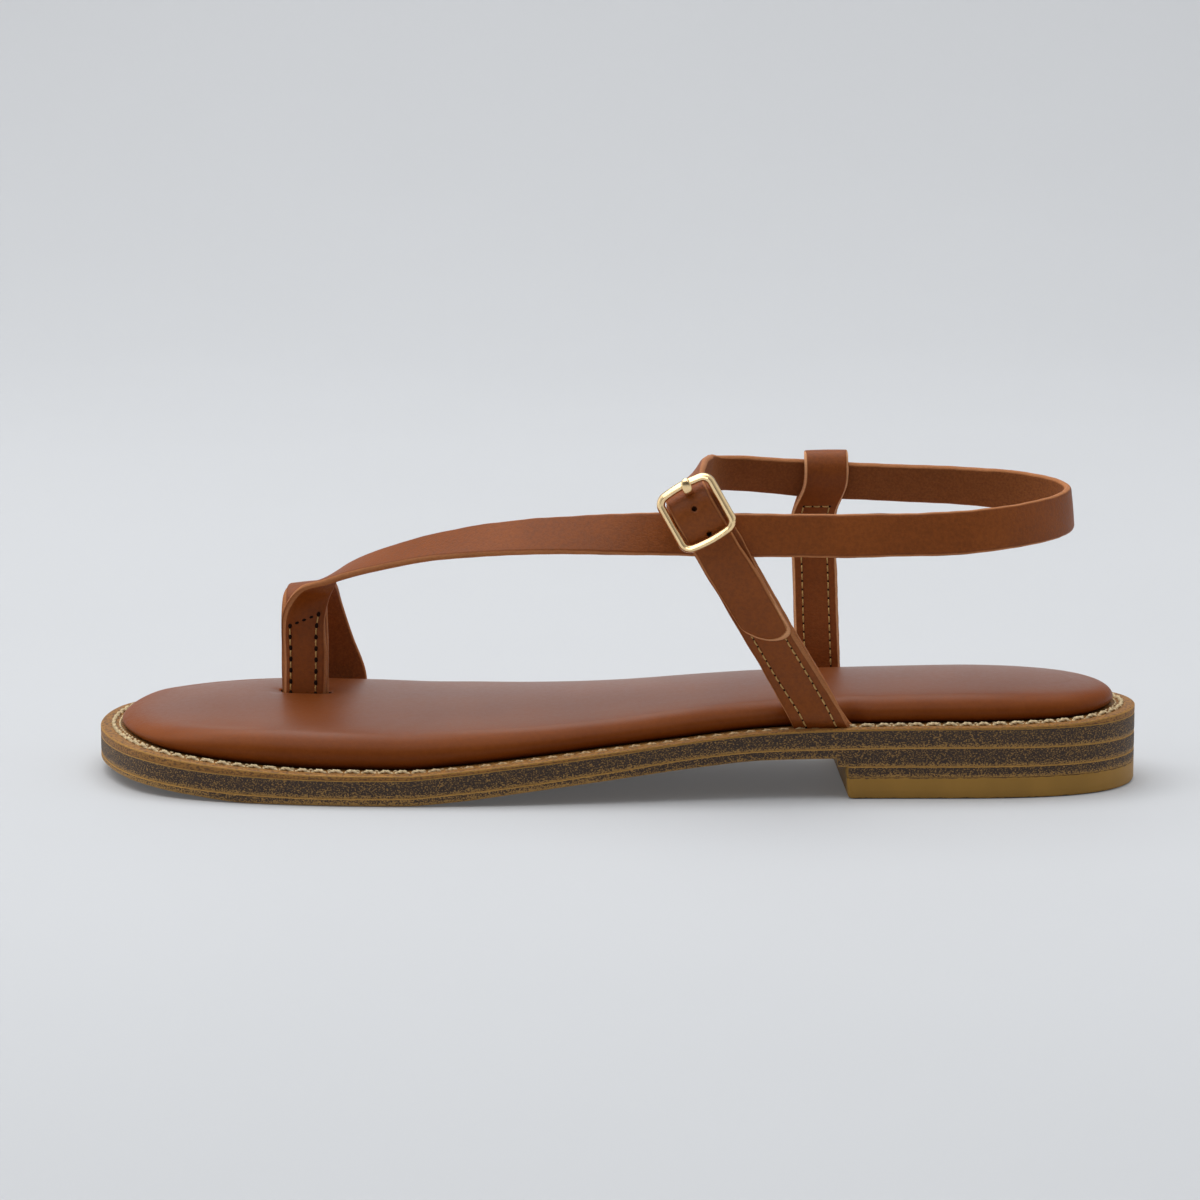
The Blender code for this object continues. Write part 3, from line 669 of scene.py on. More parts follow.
def speckled_band():
    """Dark rubber full of fine golden flecks, denser at its foot, with a bright line at both edges."""
    rubber = Finish("dark_sole_band", Specular_IOR_Level=0.3)
    below_top = rubber.read("below_top")
    above_foot = rubber.read("above_foot")
    flecks = rubber.noise(0.4, 2.0, 0.6, rubber.stretched(1.0, 1.0, 1.5))
    clumps = rubber.noise(2.2, 3.0, 0.6)
    uneven = 0.12 * (clumps - 0.5)
    fade = rubber.ramp(above_foot + 0.7 * (clumps - 0.5), 0.1, 1.3, 0.14, 0.0)
    thin = rubber.ramp(below_top + above_foot, 1.7, 2.4, 0.09, 0.0)
    gold = rubber.ramp(flecks + uneven + fade + thin, 0.5, 0.69)
    colour = rubber.blend(gold, SOLE_DARK, SOLE_GOLD)
    line = rubber.ramp(below_top + uneven, 0.12, 0.3, 0.9, 0.0)
    foot_line = rubber.ramp(above_foot, 0.06, 0.18, 0.75, 0.0)
    colour = rubber.blend(line.most(foot_line), colour, SOLE_LINE)
    hair = rubber.ramp(below_top.least(above_foot), 0.0, 0.06, 0.7, 0.0)
    colour = rubber.blend(hair, colour, SOLE_DARK)
    colour = rubber.blend(0.85 * rubber.read("front"), colour, MUSTARD)
    rubber.bump(flecks, 0.1, 0.5)
    return rubber.done(Base_Color=colour, Roughness=0.5 + 0.2 * clumps)


def welt_rubber():
    """Golden-brown welt, flecked with dark brown on its side and its rim."""
    rubber = Finish("brown_sole_edge", Specular_IOR_Level=0.3)
    below_top = rubber.read("below_top")
    flecks = rubber.noise(0.55, 2.0, 0.6, rubber.stretched(0.8, 0.8, 1.3))
    fine = rubber.noise(0.3, 2.0)
    cloud = rubber.noise(8.0, 3.0)
    dark = rubber.ramp(flecks + 0.2 * (cloud - 0.5), 0.43, 0.62, 0.0, 0.8)
    colour = rubber.varied(rubber.blend(dark, WELT_TAN, WELT_FLECK), cloud, 0.9, 1.06)
    # Painted highlight: a bright line along the welt's rounded top edge
    ridge = rubber.ramp(below_top, 0.03, 0.15) * rubber.ramp(below_top, 0.3, 0.55, 0.55, 0.0)
    colour = rubber.blend(ridge, colour, SOLE_LINE)
    rubber.bump(flecks, 0.1, 0.5)
    rubber.bump(fine, 0.04, 0.4)
    return rubber.done(Base_Color=colour, Roughness=0.52 + 0.16 * fine)


def tan_rubber():
    """Mustard rubber of the heel's top piece, with a ragged band of painted shade at its foot, where it meets
    the floor.
    """
    rubber = Finish("tan_rubber", Specular_IOR_Level=0.3)
    ragged = rubber.noise(1.6, 4.0, 0.65)
    cloud = rubber.noise(9.0, 3.0, at=rubber.stretched(1.0, 1.0, 0.4))
    # Painted shade: a ragged dark band along the foot, which turns under towards the floor
    contact_shade_share = rubber.ramp(rubber.read("above_foot") + 0.9 * (ragged - 0.5), 0.15, 0.45, 0.85, 0.0)
    bled = rubber.ramp(rubber.read("below_top") + 1.3 * (ragged - 0.5), 0.05, 0.3, 0.8, 0.0)
    colour = rubber.blend(contact_shade_share, rubber.varied(MUSTARD, cloud, 0.93, 1.05), CONTACT_SHADE)
    colour = rubber.blend(bled, colour, SOLE_DARK)
    rubber.bump(ragged, 0.06, 0.4)
    return rubber.done(Base_Color=colour, Roughness=0.46 + 0.14 * ragged)


def sewing_thread(name, colour, dark, crest_from, tight=0.0):
    """Twisted thread with fine fibres, with painted shade on the faces that look down and, where drawn tight,
    along the waist.
    """
    thread = Finish(name, Specular_IOR_Level=0.25)
    fibre = thread.noise(0.22, 3.0, 0.7)
    patch = thread.noise(3.0, 2.0)
    facing = thread.add("ShaderNodeNewGeometry")["Normal"]
    crest = thread.ramp(thread.axes(facing)["Z"], crest_from, crest_from + 0.7)
    along = thread.axes(thread.place)["X"]
    waist = thread.ramp(along, -0.05, -0.03) * thread.ramp(along, 0.045, 0.065, 1.0, 0.0)
    # Painted shade: faces that look down, and the rope along the waist, take the dark colour instead of the
    # thread's own
    lit = crest * thread.ramp(fibre, 0.55, 0.75, 1.0, 0.5) * (1 - tight * waist)
    mixed = thread.varied(thread.blend(lit, dark, colour), fibre, 0.72, 1.08)
    thread.bump(fibre, 0.08, 0.8)
    return thread.done(Base_Color=thread.varied(mixed, patch, 0.86, 1.05), Roughness=0.74 + 0.14 * fibre)


def hole_shade():
    """Painted shade for the inside of needle holes, punched holes and the toe slot."""
    shade = Finish("hole_shade", Specular_IOR_Level=0.1)
    speck = shade.noise(0.3, 2.0)
    return shade.done(Base_Color=shade.blend(speck, HOLE_DARK, DEEP_SHADE), Roughness=0.8 + 0.1 * speck)


def gold_metal():
    """Polished pale gold with faint polishing marks."""
    gold = Finish("gold_metal", Metallic=1.0)
    polish = gold.noise(1.4, 3.0, 0.6)
    marks = gold.noise(0.3, 2.0, 0.6, gold.stretched(0.3, 1.0, 1.0))
    gold.bump(polish, 0.02, 0.3)
    return gold.done(Base_Color=gold.varied(PALE_GOLD, polish, 0.95, 1.03), Roughness=0.17 + 0.1 * marks)


def pale_floor():
    """Even grey floor that glows a little, a painted light that lifts its shadows, with painted shade towards
    the camera.
    """
    glow = {"Emission_Color": screen(FLOOR_GREY), "Emission_Strength": FLOOR_GLOW}
    floor = Finish("pale_floor", Specular_IOR_Level=0.25, **glow)
    cloud = floor.noise(160.0, 2.0)
    # Painted shade: the floor darkens towards the camera
    near = floor.ramp(floor.axes(floor.place)["Y"], -0.45, -0.08, 0.9, 1.0)
    colour = floor.shaded(floor.varied(FLOOR_GREY, cloud, 0.995, 1.005), near)
    return floor.done(Base_Color=colour, Roughness=0.6 + 0.05 * cloud)


def by_column(table, names):
    return dict(zip(names, np.array(table).T))


def cubic_through(knots, values, at, period=None):
    """Smooth curve through values at the knots, natural at its ends or closed after one period."""
    values = np.asarray(values, float).reshape(len(knots), -1)
    if period is not None:
        knots = np.append(knots, knots[0] + period)
        values = np.vstack([values, values[:1]])
        at = knots[0] + (at - knots[0]) % period
    spans = np.diff(knots)
    slopes = np.diff(values, axis=0) / spans[:, None]
    count = len(knots)
    system = np.zeros((count, count))
    right = np.zeros((count, values.shape[1]))
    for i in range(1, count - 1):
        system[i, i - 1 : i + 2] = spans[i - 1], 2 * (spans[i - 1] + spans[i]), spans[i]
        right[i] = 6 * (slopes[i] - slopes[i - 1])
    if period is None:
        system[0, 0] = system[-1, -1] = 1.0
    else:
        system[0, 0], system[0, -1] = 1.0, -1.0
        system[-1, [0, 1, -2, -1]] = 2 * spans[0], spans[0], spans[-1], 2 * spans[-1]
        right[-1] = 6 * (slopes[0] - slopes[-1])
    bends = np.linalg.solve(system, right)
    i = np.clip(np.searchsorted(knots, at, side="right") - 1, 0, count - 2)
    h = spans[i][:, None]
    a = (knots[i + 1] - at)[:, None] / h
    b = 1 - a
    cubic = ((a**3 - a) * bends[i] + (b**3 - b) * bends[i + 1]) * h**2 / 6
    return a * values[i] + b * values[i + 1] + cubic


def even_through(knots, values, at):
    """Smooth curve through values that never overshoots them, so level stretches stay level."""
    at = np.clip(at, knots[0], knots[-1])
    spans = np.diff(knots)
    slopes = np.diff(values) / spans
    tangents = np.append(slopes, slopes[-1])
    for i in range(1, len(spans)):
        before, after = slopes[i - 1], slopes[i]
        tangents[i] = 2 * before * after / (before + after) if before * after > 0 else 0.0
    i = np.clip(np.searchsorted(knots, at, side="right") - 1, 0, len(spans) - 1)
    t = (at - knots[i]) / spans[i]
    rise = values[i] * (2 * t**3 - 3 * t**2 + 1) + values[i + 1] * (3 * t**2 - 2 * t**3)
    bend = tangents[i] * (t**3 - 2 * t**2 + t) + tangents[i + 1] * (t**3 - t**2)
    return rise + spans[i] * bend


def rising(value, start, end):
    """Smooth step from 0 at the start to 1 at the end, which may be the lower of the two."""
    share = np.clip((value - start) / (end - start), 0, 1)
    return share * share * (3 - 2 * share)


def between(value, rise, fall):
    """Smooth share that rises over one pair of places and falls over another."""
    return rising(value, *rise) * rising(value, *fall)


def unit(rows):
    return rows / np.linalg.norm(rows, axis=1)[:, None]


def lengths_along(points):
    """Length of the line through points, from its start to each of them."""
    return np.concatenate([[0.0], np.cumsum(np.linalg.norm(np.diff(points, axis=0), axis=1))])


def circle(step):
    """Turns round a circle, a step in degrees apart."""
    return np.radians(np.arange(0, 360, step))


def at_each(value, x):
    """A number, or a function of x, at each x."""
    return value(x) if callable(value) else np.full(len(x), value)


def level(name, x):
    layers = by_column(LEVELS, LEVEL_COLUMNS)
    return even_through(layers["x"], layers[name], x)


def outline_points(angles):
    """Points of the sole's plan: angle 0 is the back of the heel, pi the toe, lateral side between."""
    plan = by_column(OUTLINE, OUTLINE_COLUMNS)
    turn = np.arccos(plan["x"] / HALF_LENGTH)
    knots = np.concatenate([[0.0], turn[::-1], [math.pi], 2 * math.pi - turn])
    reach = np.concatenate([[HEEL_TIP_Y], plan["lateral"][::-1], [TOE_TIP_Y], plan["medial"]])
    y = cubic_through(knots, reach, angles, period=2 * math.pi)[:, 0]
    return np.column_stack([np.cos(angles) * HALF_LENGTH, y])


def half_angles():
    """Angles from the heel to the toe, with a close pair at the step behind the breast."""
    even = np.linspace(0, math.pi, HALF_OUTLINE_STEPS + 1)
    step = [math.acos((BREAST_X + side) / HALF_LENGTH) for side in (-BREAST_PAIR, BREAST_PAIR)]
    return np.sort(np.concatenate([even, step]))


def set_in(angles, inset):
    """Points of the sole's plan, moved inward by an inset that is a number or a function of x."""
    points = outline_points(angles)
    nudge = 1e-4
    along = unit(outline_points(angles + nudge) - outline_points(angles - nudge))
    inward = np.column_stack([along[:, 1], -along[:, 0]])
    return points + at_each(inset, points[:, 0])[:, None] * inward


def ring_at(inset, height):
    """Closed plan of the sole at a height, which is a number or a function of x."""
    half = half_angles()
    ring = set_in(np.concatenate([half, 2 * math.pi - half[-2:0:-1]]), inset)
    return np.column_stack([ring, at_each(height, ring[:, 0])])


def heel_ring(inset, height, front_x):
    """Plan of the heel at a height, with a straight front whose corners are rounded."""
    turns = np.linspace(0, math.pi / 2, BREAST_TURNS + 1)[1:]
    sides = []
    for side, x in ((1, front_x), (-1, front_x - BREAST_SLANT)):
        front = math.acos((x + BREAST_ROUND) / HALF_LENGTH)
        points = set_in(side * np.linspace(0, front, HEEL_STEPS + 1), inset)
        corner = np.column_stack([-np.sin(turns), side * (1 - np.cos(turns))]) * BREAST_ROUND
        sides.append(np.vstack([points, points[-1] + corner]))
    ring = np.vstack([sides[0], sides[1][:0:-1]])
    return np.column_stack([ring, np.full(len(ring), height)])


def heel_front():
    """Share of the heel's front at each point of its plan: none along the sides, all past the corners."""
    corner = rising(np.linspace(0, 1, BREAST_TURNS + 1)[1:], *FRONT_SHOWS)
    side = np.concatenate([np.zeros(HEEL_STEPS + 1), corner])
    return np.concatenate([side, side[:0:-1]])


def cap_faces(ring):
    """Rows of faces across a closed ring, from the heel to the front."""
    count = len(ring)
    rows = [(ring[k], ring[-k]) for k in range(1, (count + 1) // 2)]
    faces = [(ring[0], rows[0][0], rows[0][1])]
    faces += [(a, c, d, b) for (a, b), (c, d) in zip(rows, rows[1:])]
    if count % 2 == 0:
        faces.append((rows[-1][0], ring[count // 2], rows[-1][1]))
    return faces


def walls(length, count, closed=False):
    """Faces from each ring of points to the next, and from the last to the first where closed."""
    faces = []
    for i in range(length if closed else length - 1):
        here, there = i * count, (i + 1) % length * count
        for k in range(count):
            after = (k + 1) % count
            faces.append((here + k, here + after, there + after, there + k))
    return faces


def stacked(rings, caps=(True, True)):
    """Surface through rings of points, bottom to top, capped at its ends."""
    count = len(rings[0])
    faces = []
    for wanted, first in zip(caps, (0, (len(rings) - 1) * count)):
        faces += cap_faces(range(first, first + count)) if wanted else []
    return np.vstack(rings), faces + walls(len(rings), count)


def swept(rings, closed=False):
    """Closed surface through rings along a route, with flat ends or joined to its start."""
    length, count = rings.shape[:2]
    faces = walls(length, count, closed)
    if not closed:
        faces.append(tuple(range(count)))
        faces.append(tuple(range((length - 1) * count, length * count)))
    return rings.reshape(-1, 3), faces


def placed(name, data):
    """A new object in the scene."""
    piece = bpy.data.objects.new(name, data)
    bpy.context.scene.collection.objects.link(piece)
    return piece


def add_piece(name, shape, finish, sharp=50.0, **attributes):
    """Object from points and faces in millimetres, faces out, with values kept on its points."""
    points, faces = shape
    mesh = bpy.data.meshes.new(name)
    mesh.from_pydata((np.asarray(points) * MM).tolist(), [], [tuple(map(int, face)) for face in faces])
    work = bmesh.new()
    work.from_mesh(mesh)
    bmesh.ops.recalc_face_normals(work, faces=work.faces)
    if work.calc_volume(signed=True) < 0:
        bmesh.ops.reverse_faces(work, faces=work.faces)
    work.to_mesh(mesh)
    work.free()
    for key, values in attributes.items():
        kept = mesh.attributes.new(key, "FLOAT", "POINT")
        kept.data.foreach_set("value", np.asarray(values, np.float32))
    mesh.shade_smooth()
    mesh.set_sharp_from_angle(angle=math.radians(sharp))
    mesh.materials.append(finish)
    return placed(name, mesh)


def settled(piece, slot=None, *nodes):
    """The piece rides on the sandal and stands for its nodes; its slot is not used."""
    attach(piece, "root")
    if nodes:
        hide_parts(*nodes)


def cut_out(piece, tool):
    """Takes the tool's shape out of the piece, and removes the tool."""
    step = piece.modifiers.new("cut", "BOOLEAN")
    step.operation = "DIFFERENCE"
    step.solver = "EXACT"
    step.material_mode = "TRANSFER"
    step.object = tool
    made_plain(piece)
    bpy.data.objects.remove(tool, do_unlink=True)


def made_plain(piece):
    """Keeps the evaluated mesh of the piece and removes its modifiers."""
    evaluated = piece.evaluated_get(bpy.context.evaluated_depsgraph_get())
    mesh = bpy.data.meshes.new_from_object(evaluated)
    piece.modifiers.clear()
    old = piece.data
    piece.data = mesh
    mesh.name = piece.name
    bpy.data.meshes.remove(old)


def outsole_under(x):
    return np.where(x > BREAST_X, HEEL_LIFT_TOP, level("underside", x))


def outsole_top(x):
    return level("outsole_top", x) + LAYER_JOIN


def midsole_top(x):
    return level("midsole_top", x) + LAYER_JOIN


def rim_dip(x):
    """Depth by which the rim lies lower beside the waist and the heel than at the back."""
    deepest = level("rim_top", x) - level("midsole_top", x) - RIM_LEAST
    return np.clip(RIM_DIP * between(x, *RIM_DIPS), 0.0, deepest)


def rim_top(x):
    return level("rim_top", x) - rim_dip(x)


def rope_line(x):
    """Height of the rope's foot, which is drawn tight into the rim along the waist."""
    return rim_top(x) - ROPE_SUNK * between(x, *ROPE_SINKS)


def sole_layer(name, finish, slot, node, foot, top, corner=LAYER_ROUND, foot_round=None, top_rings=()):
    """One layer of the sole between two heights, its side a little rounded at both edges."""
    foot_in, foot_up = foot_round or (corner, 0.0)

    def foot_inset(part):
        """Rounding of the foot, which stops where the heel is built on."""
        return lambda x: SIDE_INSET + part * np.where(x > BREAST_X, min(corner, foot_in), foot_in)

    def height(share):
        return lambda x: foot(x) + share * (top(x) - foot(x))

    steps = [(foot_inset(1.0), 0.0), (foot_inset(HALF_ROUND), FOOT_TURN + foot_up / 2)]
    steps += [(SIDE_INSET, share + part * foot_up) for share, part in SIDE_STEPS]
    steps += [(SIDE_INSET + HALF_ROUND * corner, TOP_TURN), (SIDE_INSET + corner, 1.0)]
    rings = [ring_at(inset, height(share)) for inset, share in steps]
    rings += [ring_at(inset, top) for inset in top_rings]
    points, faces = stacked(rings)
    x, z = points[:, 0], points[:, 2]
    ring = np.repeat(np.arange(len(rings)), len(rings[0]))
    below_top = np.where(ring < len(steps), top(x) - z, 0.0)
    front = (ring == 0) & (np.abs(x - BREAST_X) < BREAST_NEAR) & (foot is outsole_under)
    piece = add_piece(name, (points, faces), finish, below_top=below_top, above_foot=z - foot(x), front=front)
    settled(piece, slot, node)


def make_sole():
    band = speckled_band()
    sole_layer(
        "speckled_outsole", band, "dark_sole_band", "outsole", outsole_under, outsole_top,
        foot_round=UNDER_ROUND,
    )
    sole_layer("speckled_midsole", band, "dark_sole_band", "midsole", outsole_top, midsole_top)
    sole_layer(
        "flecked_welt", welt_rubber(), "brown_sole_edge", "welt", midsole_top, rim_top,
        corner=RIM_ROUND, foot_round=(LAYER_ROUND, 0.0), top_rings=RIM_RINGS,
    )
    heel_layer(
        "stacked_lift", band, "dark_sole_band", "heel_lift",
        TOP_PIECE_HEIGHT, HEEL_LIFT_TOP, HEEL_LIFT_ROUND,
    )
    heel_layer(
        "tan_top_piece", tan_rubber(), "tan_rubber", "heel_top_piece",
        0.0, TOP_PIECE_HEIGHT, TOP_PIECE_ROUND,
    )


def heel_layer(name, finish, slot, node, foot, top, foot_round):
    """One layer of the heel between two heights, rounded at its foot, with a leaning front."""
    rounding = ((1, 0), (HALF_ROUND, HALF_ROUND), (0, 1))
    steps = [(part * foot_round, foot + up * foot_round) for part, up in rounding]
    steps += [(0.0, foot + share * (top - foot)) for share in HEEL_SHARES]
    steps += [(inset, top - down) for inset, down in HEEL_TOP_EDGE]
    rings = []
    for inset, z in steps:
        front_x = BREAST_X + BREAST_STEP + BREAST_LEAN * (1 - z / HEEL_LIFT_TOP) + inset
        rings.append(heel_ring(SIDE_INSET + inset, z, front_x))
    points, faces = stacked(rings)
    z = points[:, 2]
    front = np.tile(heel_front(), len(rings))
    piece = add_piece(name, (points, faces), finish, below_top=top - z, above_foot=z - foot, front=front)
    settled(piece, slot, node)


def footbed_press(points):
    """Depth by which the straps press the footbed's side in, at each point."""
    x, y = points[:, 0], points[:, 1]
    depth = np.zeros(len(points))
    for mid_x, mid_y, reach_x, reach_y, deep in FOOTBED_DENTS:
        depth += deep * np.exp(-(((x - mid_x) / reach_x) ** 4) - ((y - mid_y) / reach_y) ** 2)
    return depth


def footbed_folds(points):
    """Height lost to the toe slot's pucker and to soft wrinkles."""
    x, y = points[:, 0], points[:, 1]
    slot_x, slot_y = LONG_STRAP[0][0], LONG_STRAP[0][1] + SLOT_SHIFT
    past_x = np.maximum(np.abs(x - slot_x) - TOE_STRAP_WIDTH / 2, 0)
    past_y = np.maximum(np.abs(y - slot_y) - PUCKER_HALF_WIDE, 0)
    away = np.hypot(past_x, past_y)
    lost = sum(deep * np.exp(-((away / reach) ** 2)) for deep, reach in PUCKERS)
    for mid_x, lean, low, high, width, deep in FOOTBED_WRINKLES:
        across = (x - mid_x - lean * (y - (low + high) / 2)) / width
        inside = np.clip((y - low) / WRINKLE_FADE, 0, 1) * np.clip((high - y) / WRINKLE_FADE, 0, 1)
        ridge = WRINKLE_RIDGE * np.exp(-((across - WRINKLE_RIDGE_AT) ** 2))
        lost += deep * inside * (np.exp(-(across**2)) - ridge)
    return lost


def footbed_side():
    """Smooth profile of the padded side, base to top: inset, and share of the thickness."""
    rows = np.array(FOOTBED_SIDE) * [1.0, FOOTBED_TYPICAL]
    knots = lengths_along(rows)
    at = np.linspace(0, knots[-2], FOOTBED_SIDE_STEPS + 1)
    side = cubic_through(knots, rows, at) / [1.0, FOOTBED_TYPICAL]
    side[:, 1] = np.clip(side[:, 1], 0, None)
    return side


def eased(points, faces, loose):
    """Heights drawn towards those of their neighbours, where loose, round after round."""
    edges = {tuple(sorted((face[k], face[k - 1]))) for face in faces for k in range(len(face))}
    first, second = np.array(sorted(edges)).T
    pull = 1 / np.linalg.norm(points[first] - points[second], axis=1)
    count = len(points)
    total = np.bincount(first, pull, count) + np.bincount(second, pull, count)
    z = points[:, 2].copy()
    for _ in range(EASING_ROUNDS):
        drawn = np.bincount(first, pull * z[second], count) + np.bincount(second, pull * z[first], count)
        z += EASING * loose * (drawn / total - z)
    return z


def evened(ring, rounds):
    """A ring with its toe smoothed in plan, so that a deep inset doesn't fold over in a tight curve."""
    ease = TOE_EVEN_SHARE * rising(ring[:, 0], *TOE_EVENS)[:, None]
    plan = ring[:, :2]
    for _ in range(rounds):
        plan = plan + ease * (np.roll(plan, 1, axis=0) + np.roll(plan, -1, axis=0) - 2 * plan)
    return np.column_stack([plan, ring[:, 2]])


def softened(points, faces, up):
    """Heights averaged over their surroundings at the toe's end of the top, as one soft dome."""
    area = np.zeros(len(points))
    for corners in (3, 4):
        chosen = np.array([face for face in faces if len(face) == corners])
        first = points[chosen[:, 2]] - points[chosen[:, 0]]
        second = points[chosen[:, -1]] - points[chosen[:, 1]]
        share = np.linalg.norm(np.cross(first, second), axis=1) / 2 / corners
        np.add.at(area, chosen.ravel(), np.repeat(share, corners))
    x, z = points[:, 0], points[:, 2].copy()
    loose = rising(up, *TOP_SOFTENS) * rising(x, *TOE_SOFTENS)
    near = np.flatnonzero((up > TOE_SOFT_FROM) & (x < TOE_SOFTENS[0] + TOE_SOFT_SPAN))
    for part in np.array_split(np.flatnonzero(loose > TOE_SOFT_LEAST), TOE_SOFT_PARTS):
        gap = points[part, None, :2] - points[None, near, :2]
        pull = area[near] * np.exp(-(gap**2).sum(-1) / (2 * TOE_SOFT_REACH**2))
        z[part] += loose[part] * (pull @ points[near, 2] / pull.sum(1) - z[part])
    return z


def padded_ring(inset, share):
    """Ring of the padded side, drawn further in round the toe above its widest line."""
    upper = share > UPPER_SIDE

    def set_in_by(x):
        return RIM_WIDTH + inset * (1 + TOE_SPREAD * upper * rising(x, *TOE_SPREADS))

    rounds = int(TOE_EVENING * max(inset - TOE_EVEN_INSET, 0.0) * upper)
    ring = evened(ring_at(set_in_by, 0.0), rounds)
    x, y = ring[:, 0], ring[:, 1]
    thick = FOOTBED_LIFT + rim_dip(x) + level("footbed_thickness", x)
    ring[:, 2] = rim_top(x) + share * thick + share * FOOTBED_TILT * y
    return ring


def crowned(points, faces, count):
    """Adds rows from side to side of the last ring, which rise to a crown, and their faces."""
    base = len(points)
    top = base - count
    spread = np.linspace(0, 1, FOOTBED_COLUMNS + 1)[1:-1]
    width = len(spread)
    crown, grid = [], []
    for k in range(1, count // 2):
        lateral, medial = points[top + k], points[top + count - k]
        rise = CROWN * min(1.0, (medial[1] - lateral[1]) / CROWN_WIDTH) ** 2
        row = lateral + spread[:, None] * (medial - lateral)
        row[:, 2] += rise * 4 * spread * (1 - spread)
        crown.append(row)
        first = base + (k - 1) * width
        grid.append([top + k, *range(first, first + width), top + count - k])
    for near, far in zip(grid, grid[1:]):
        faces += [(near[j], near[j + 1], far[j + 1], far[j]) for j in range(width + 1)]
    faces += [(top, grid[0][j + 1], grid[0][j]) for j in range(width + 1)]
    faces += [(top + count // 2, grid[-1][j], grid[-1][j + 1]) for j in range(width + 1)]
    return np.vstack([points, *crown]), faces


def make_footbed():
    """Padded insole: a soft side tucked under, a crowned top and a slot for the toe straps."""
    side = footbed_side()
    rings = [ring_at(RIM_WIDTH + FOOTBED_SIDE[0][0] + FOOTBED_TUCK, lambda x: rim_top(x) - FOOTBED_SUNK)]
    rings += [padded_ring(inset, share) for inset, share in side]
    count = len(rings[0])
    points, faces = crowned(*stacked(rings, caps=(True, False)), count)
    up = np.repeat([0.0, *side[:, 1]], count)
    up = np.concatenate([up, np.ones(len(points) - len(up))])
    points[:, 2] = eased(points, faces, rising(up, *TOP_LOOSENS))
    points[:, 2] = softened(points, faces, up)
    points[:, 1] -= np.sign(points[:, 1]) * footbed_press(points) * (1 - (1 - DENTS_AT_TOP) * up)
    start, end = FOLDS_SHOW
    shown = np.clip((up - start) / (end - start), 0, 1)
    points[:, 2] -= (footbed_folds(points) + DENTS_DOWN * footbed_press(points)) * shown
    footbed = add_piece("padded_footbed", (points, faces), footbed_leather(), up=up)
    cut_out(footbed, slot_tool())
    settled(footbed, "footbed_leather", "footbed")


def slot_tool():
    """Rounded slot that both toe straps go into."""
    x, y = LONG_STRAP[0][:2]
    turns = circle(15)
    sides = np.column_stack([np.cos(turns), np.sin(turns)]) * SLOT_HALF_WIDE
    half_long = TOE_STRAP_WIDTH / 2 + SLOT_SPARE
    sides[:, 0] += np.sign(np.round(sides[:, 0], 6)) * (half_long - SLOT_HALF_WIDE)
    sides = sides @ np.array([turned([1.0, 0.0, 0.0], TOE_TURN)[:2], [0.0, 1.0]])
    ring = np.column_stack([sides + [x + SLOT_SHIFT, y + SLOT_SHIFT], np.zeros(len(sides))])
    rings = np.stack([ring + [0, 0, z] for z in SLOT_HEIGHTS])
    return add_piece("toe_slot", swept(rings), hole_shade())


class Ribbon:
    """A strap's route: its middle, the direction of its edge and of its face, and its half sizes."""

    def __init__(self, points, edges, thickness, tail_round=0.0, toe_bevel=0.0):
        knots = lengths_along(points)
        self.at = np.linspace(0, knots[-1], int(knots[-1] / STRAP_STEP) + 1)
        if tail_round:
            ends = knots[-1] - tail_round * (1 - np.sin(np.linspace(0, TAIL_TURN, TAIL_STEPS)))
            self.at = np.concatenate([self.at[self.at < ends[0] - TAIL_GAP], ends])
        self.middle = cubic_through(knots, points, self.at)
        ahead = unit(np.gradient(self.middle, self.at, axis=0))
        edge = np.column_stack([even_through(knots, row, self.at) for row in edges.T])
        self.facing = unit(np.cross(ahead, edge))
        self.edge = unit(edge)
        self.full_width = np.linalg.norm(edge, axis=1) / 2
        self.half_width = self.full_width
        self.half_depth = np.full(len(self.at), thickness / 2)
        self.near_bevel = toe_bevel * rising(self.at, *TOE_BEVELS)
        self.far_bevel, self.bevel, self.past = np.zeros((3, len(self.at)))
        if tail_round:
            self.shape_tail(knots[-1] - self.at, tail_round, ahead)

    def shape_tail(self, left, tail_round, ahead):
        """Wider, rounded, bevelled and slanting end, by the length that is left to it."""
        wider = TAIL_WIDER / 2 * rising(left, *TAIL_WIDENS)
        self.middle += wider[:, None] * self.edge
        self.full_width = self.full_width + wider
        self.past = np.clip(1 - left / tail_round, 0, 1)
        self.half_width = self.full_width * np.sqrt(1 - self.past**2)
        rounding = TAIL_BEVEL_SIDE + (1 - TAIL_BEVEL_SIDE) * rising(self.past, *TAIL_BEVEL_ROUNDS)
        self.bevel = TAIL_BEVEL * rising(left, *TAIL_BEVELS) * rounding
        self.edge += TAIL_SKEW * rising(left, *TAIL_SKEWS)[:, None] * ahead

    def nearest(self, point):
        return self.at[np.argmin(np.linalg.norm(self.middle - point, axis=1))]

    def at_height(self, z, start, stop):
        """Length along the strap, within a stretch of it, at which its middle comes nearest a height."""
        inside = (self.at >= start) & (self.at <= stop)
        return self.at[inside][np.argmin(np.abs(self.middle[inside, 2] - z))]

    def spot(self, along, across, side):
        """Point on a face of the strap and the way that face looks; side is 1 or -1."""
        rows = (self.middle, self.edge, self.facing)
        middle, edge, facing = (interpolated([along], self.at, values)[0] for values in rows)
        depth = np.interp(along, self.at, self.half_depth) + FACE_CROWN
        return middle + across * edge + depth * side * facing, side * facing


def interpolated(at, knots, rows):
    """Rows of values at places between their knots."""
    return np.column_stack([np.interp(at, knots, values) for values in rows.T])


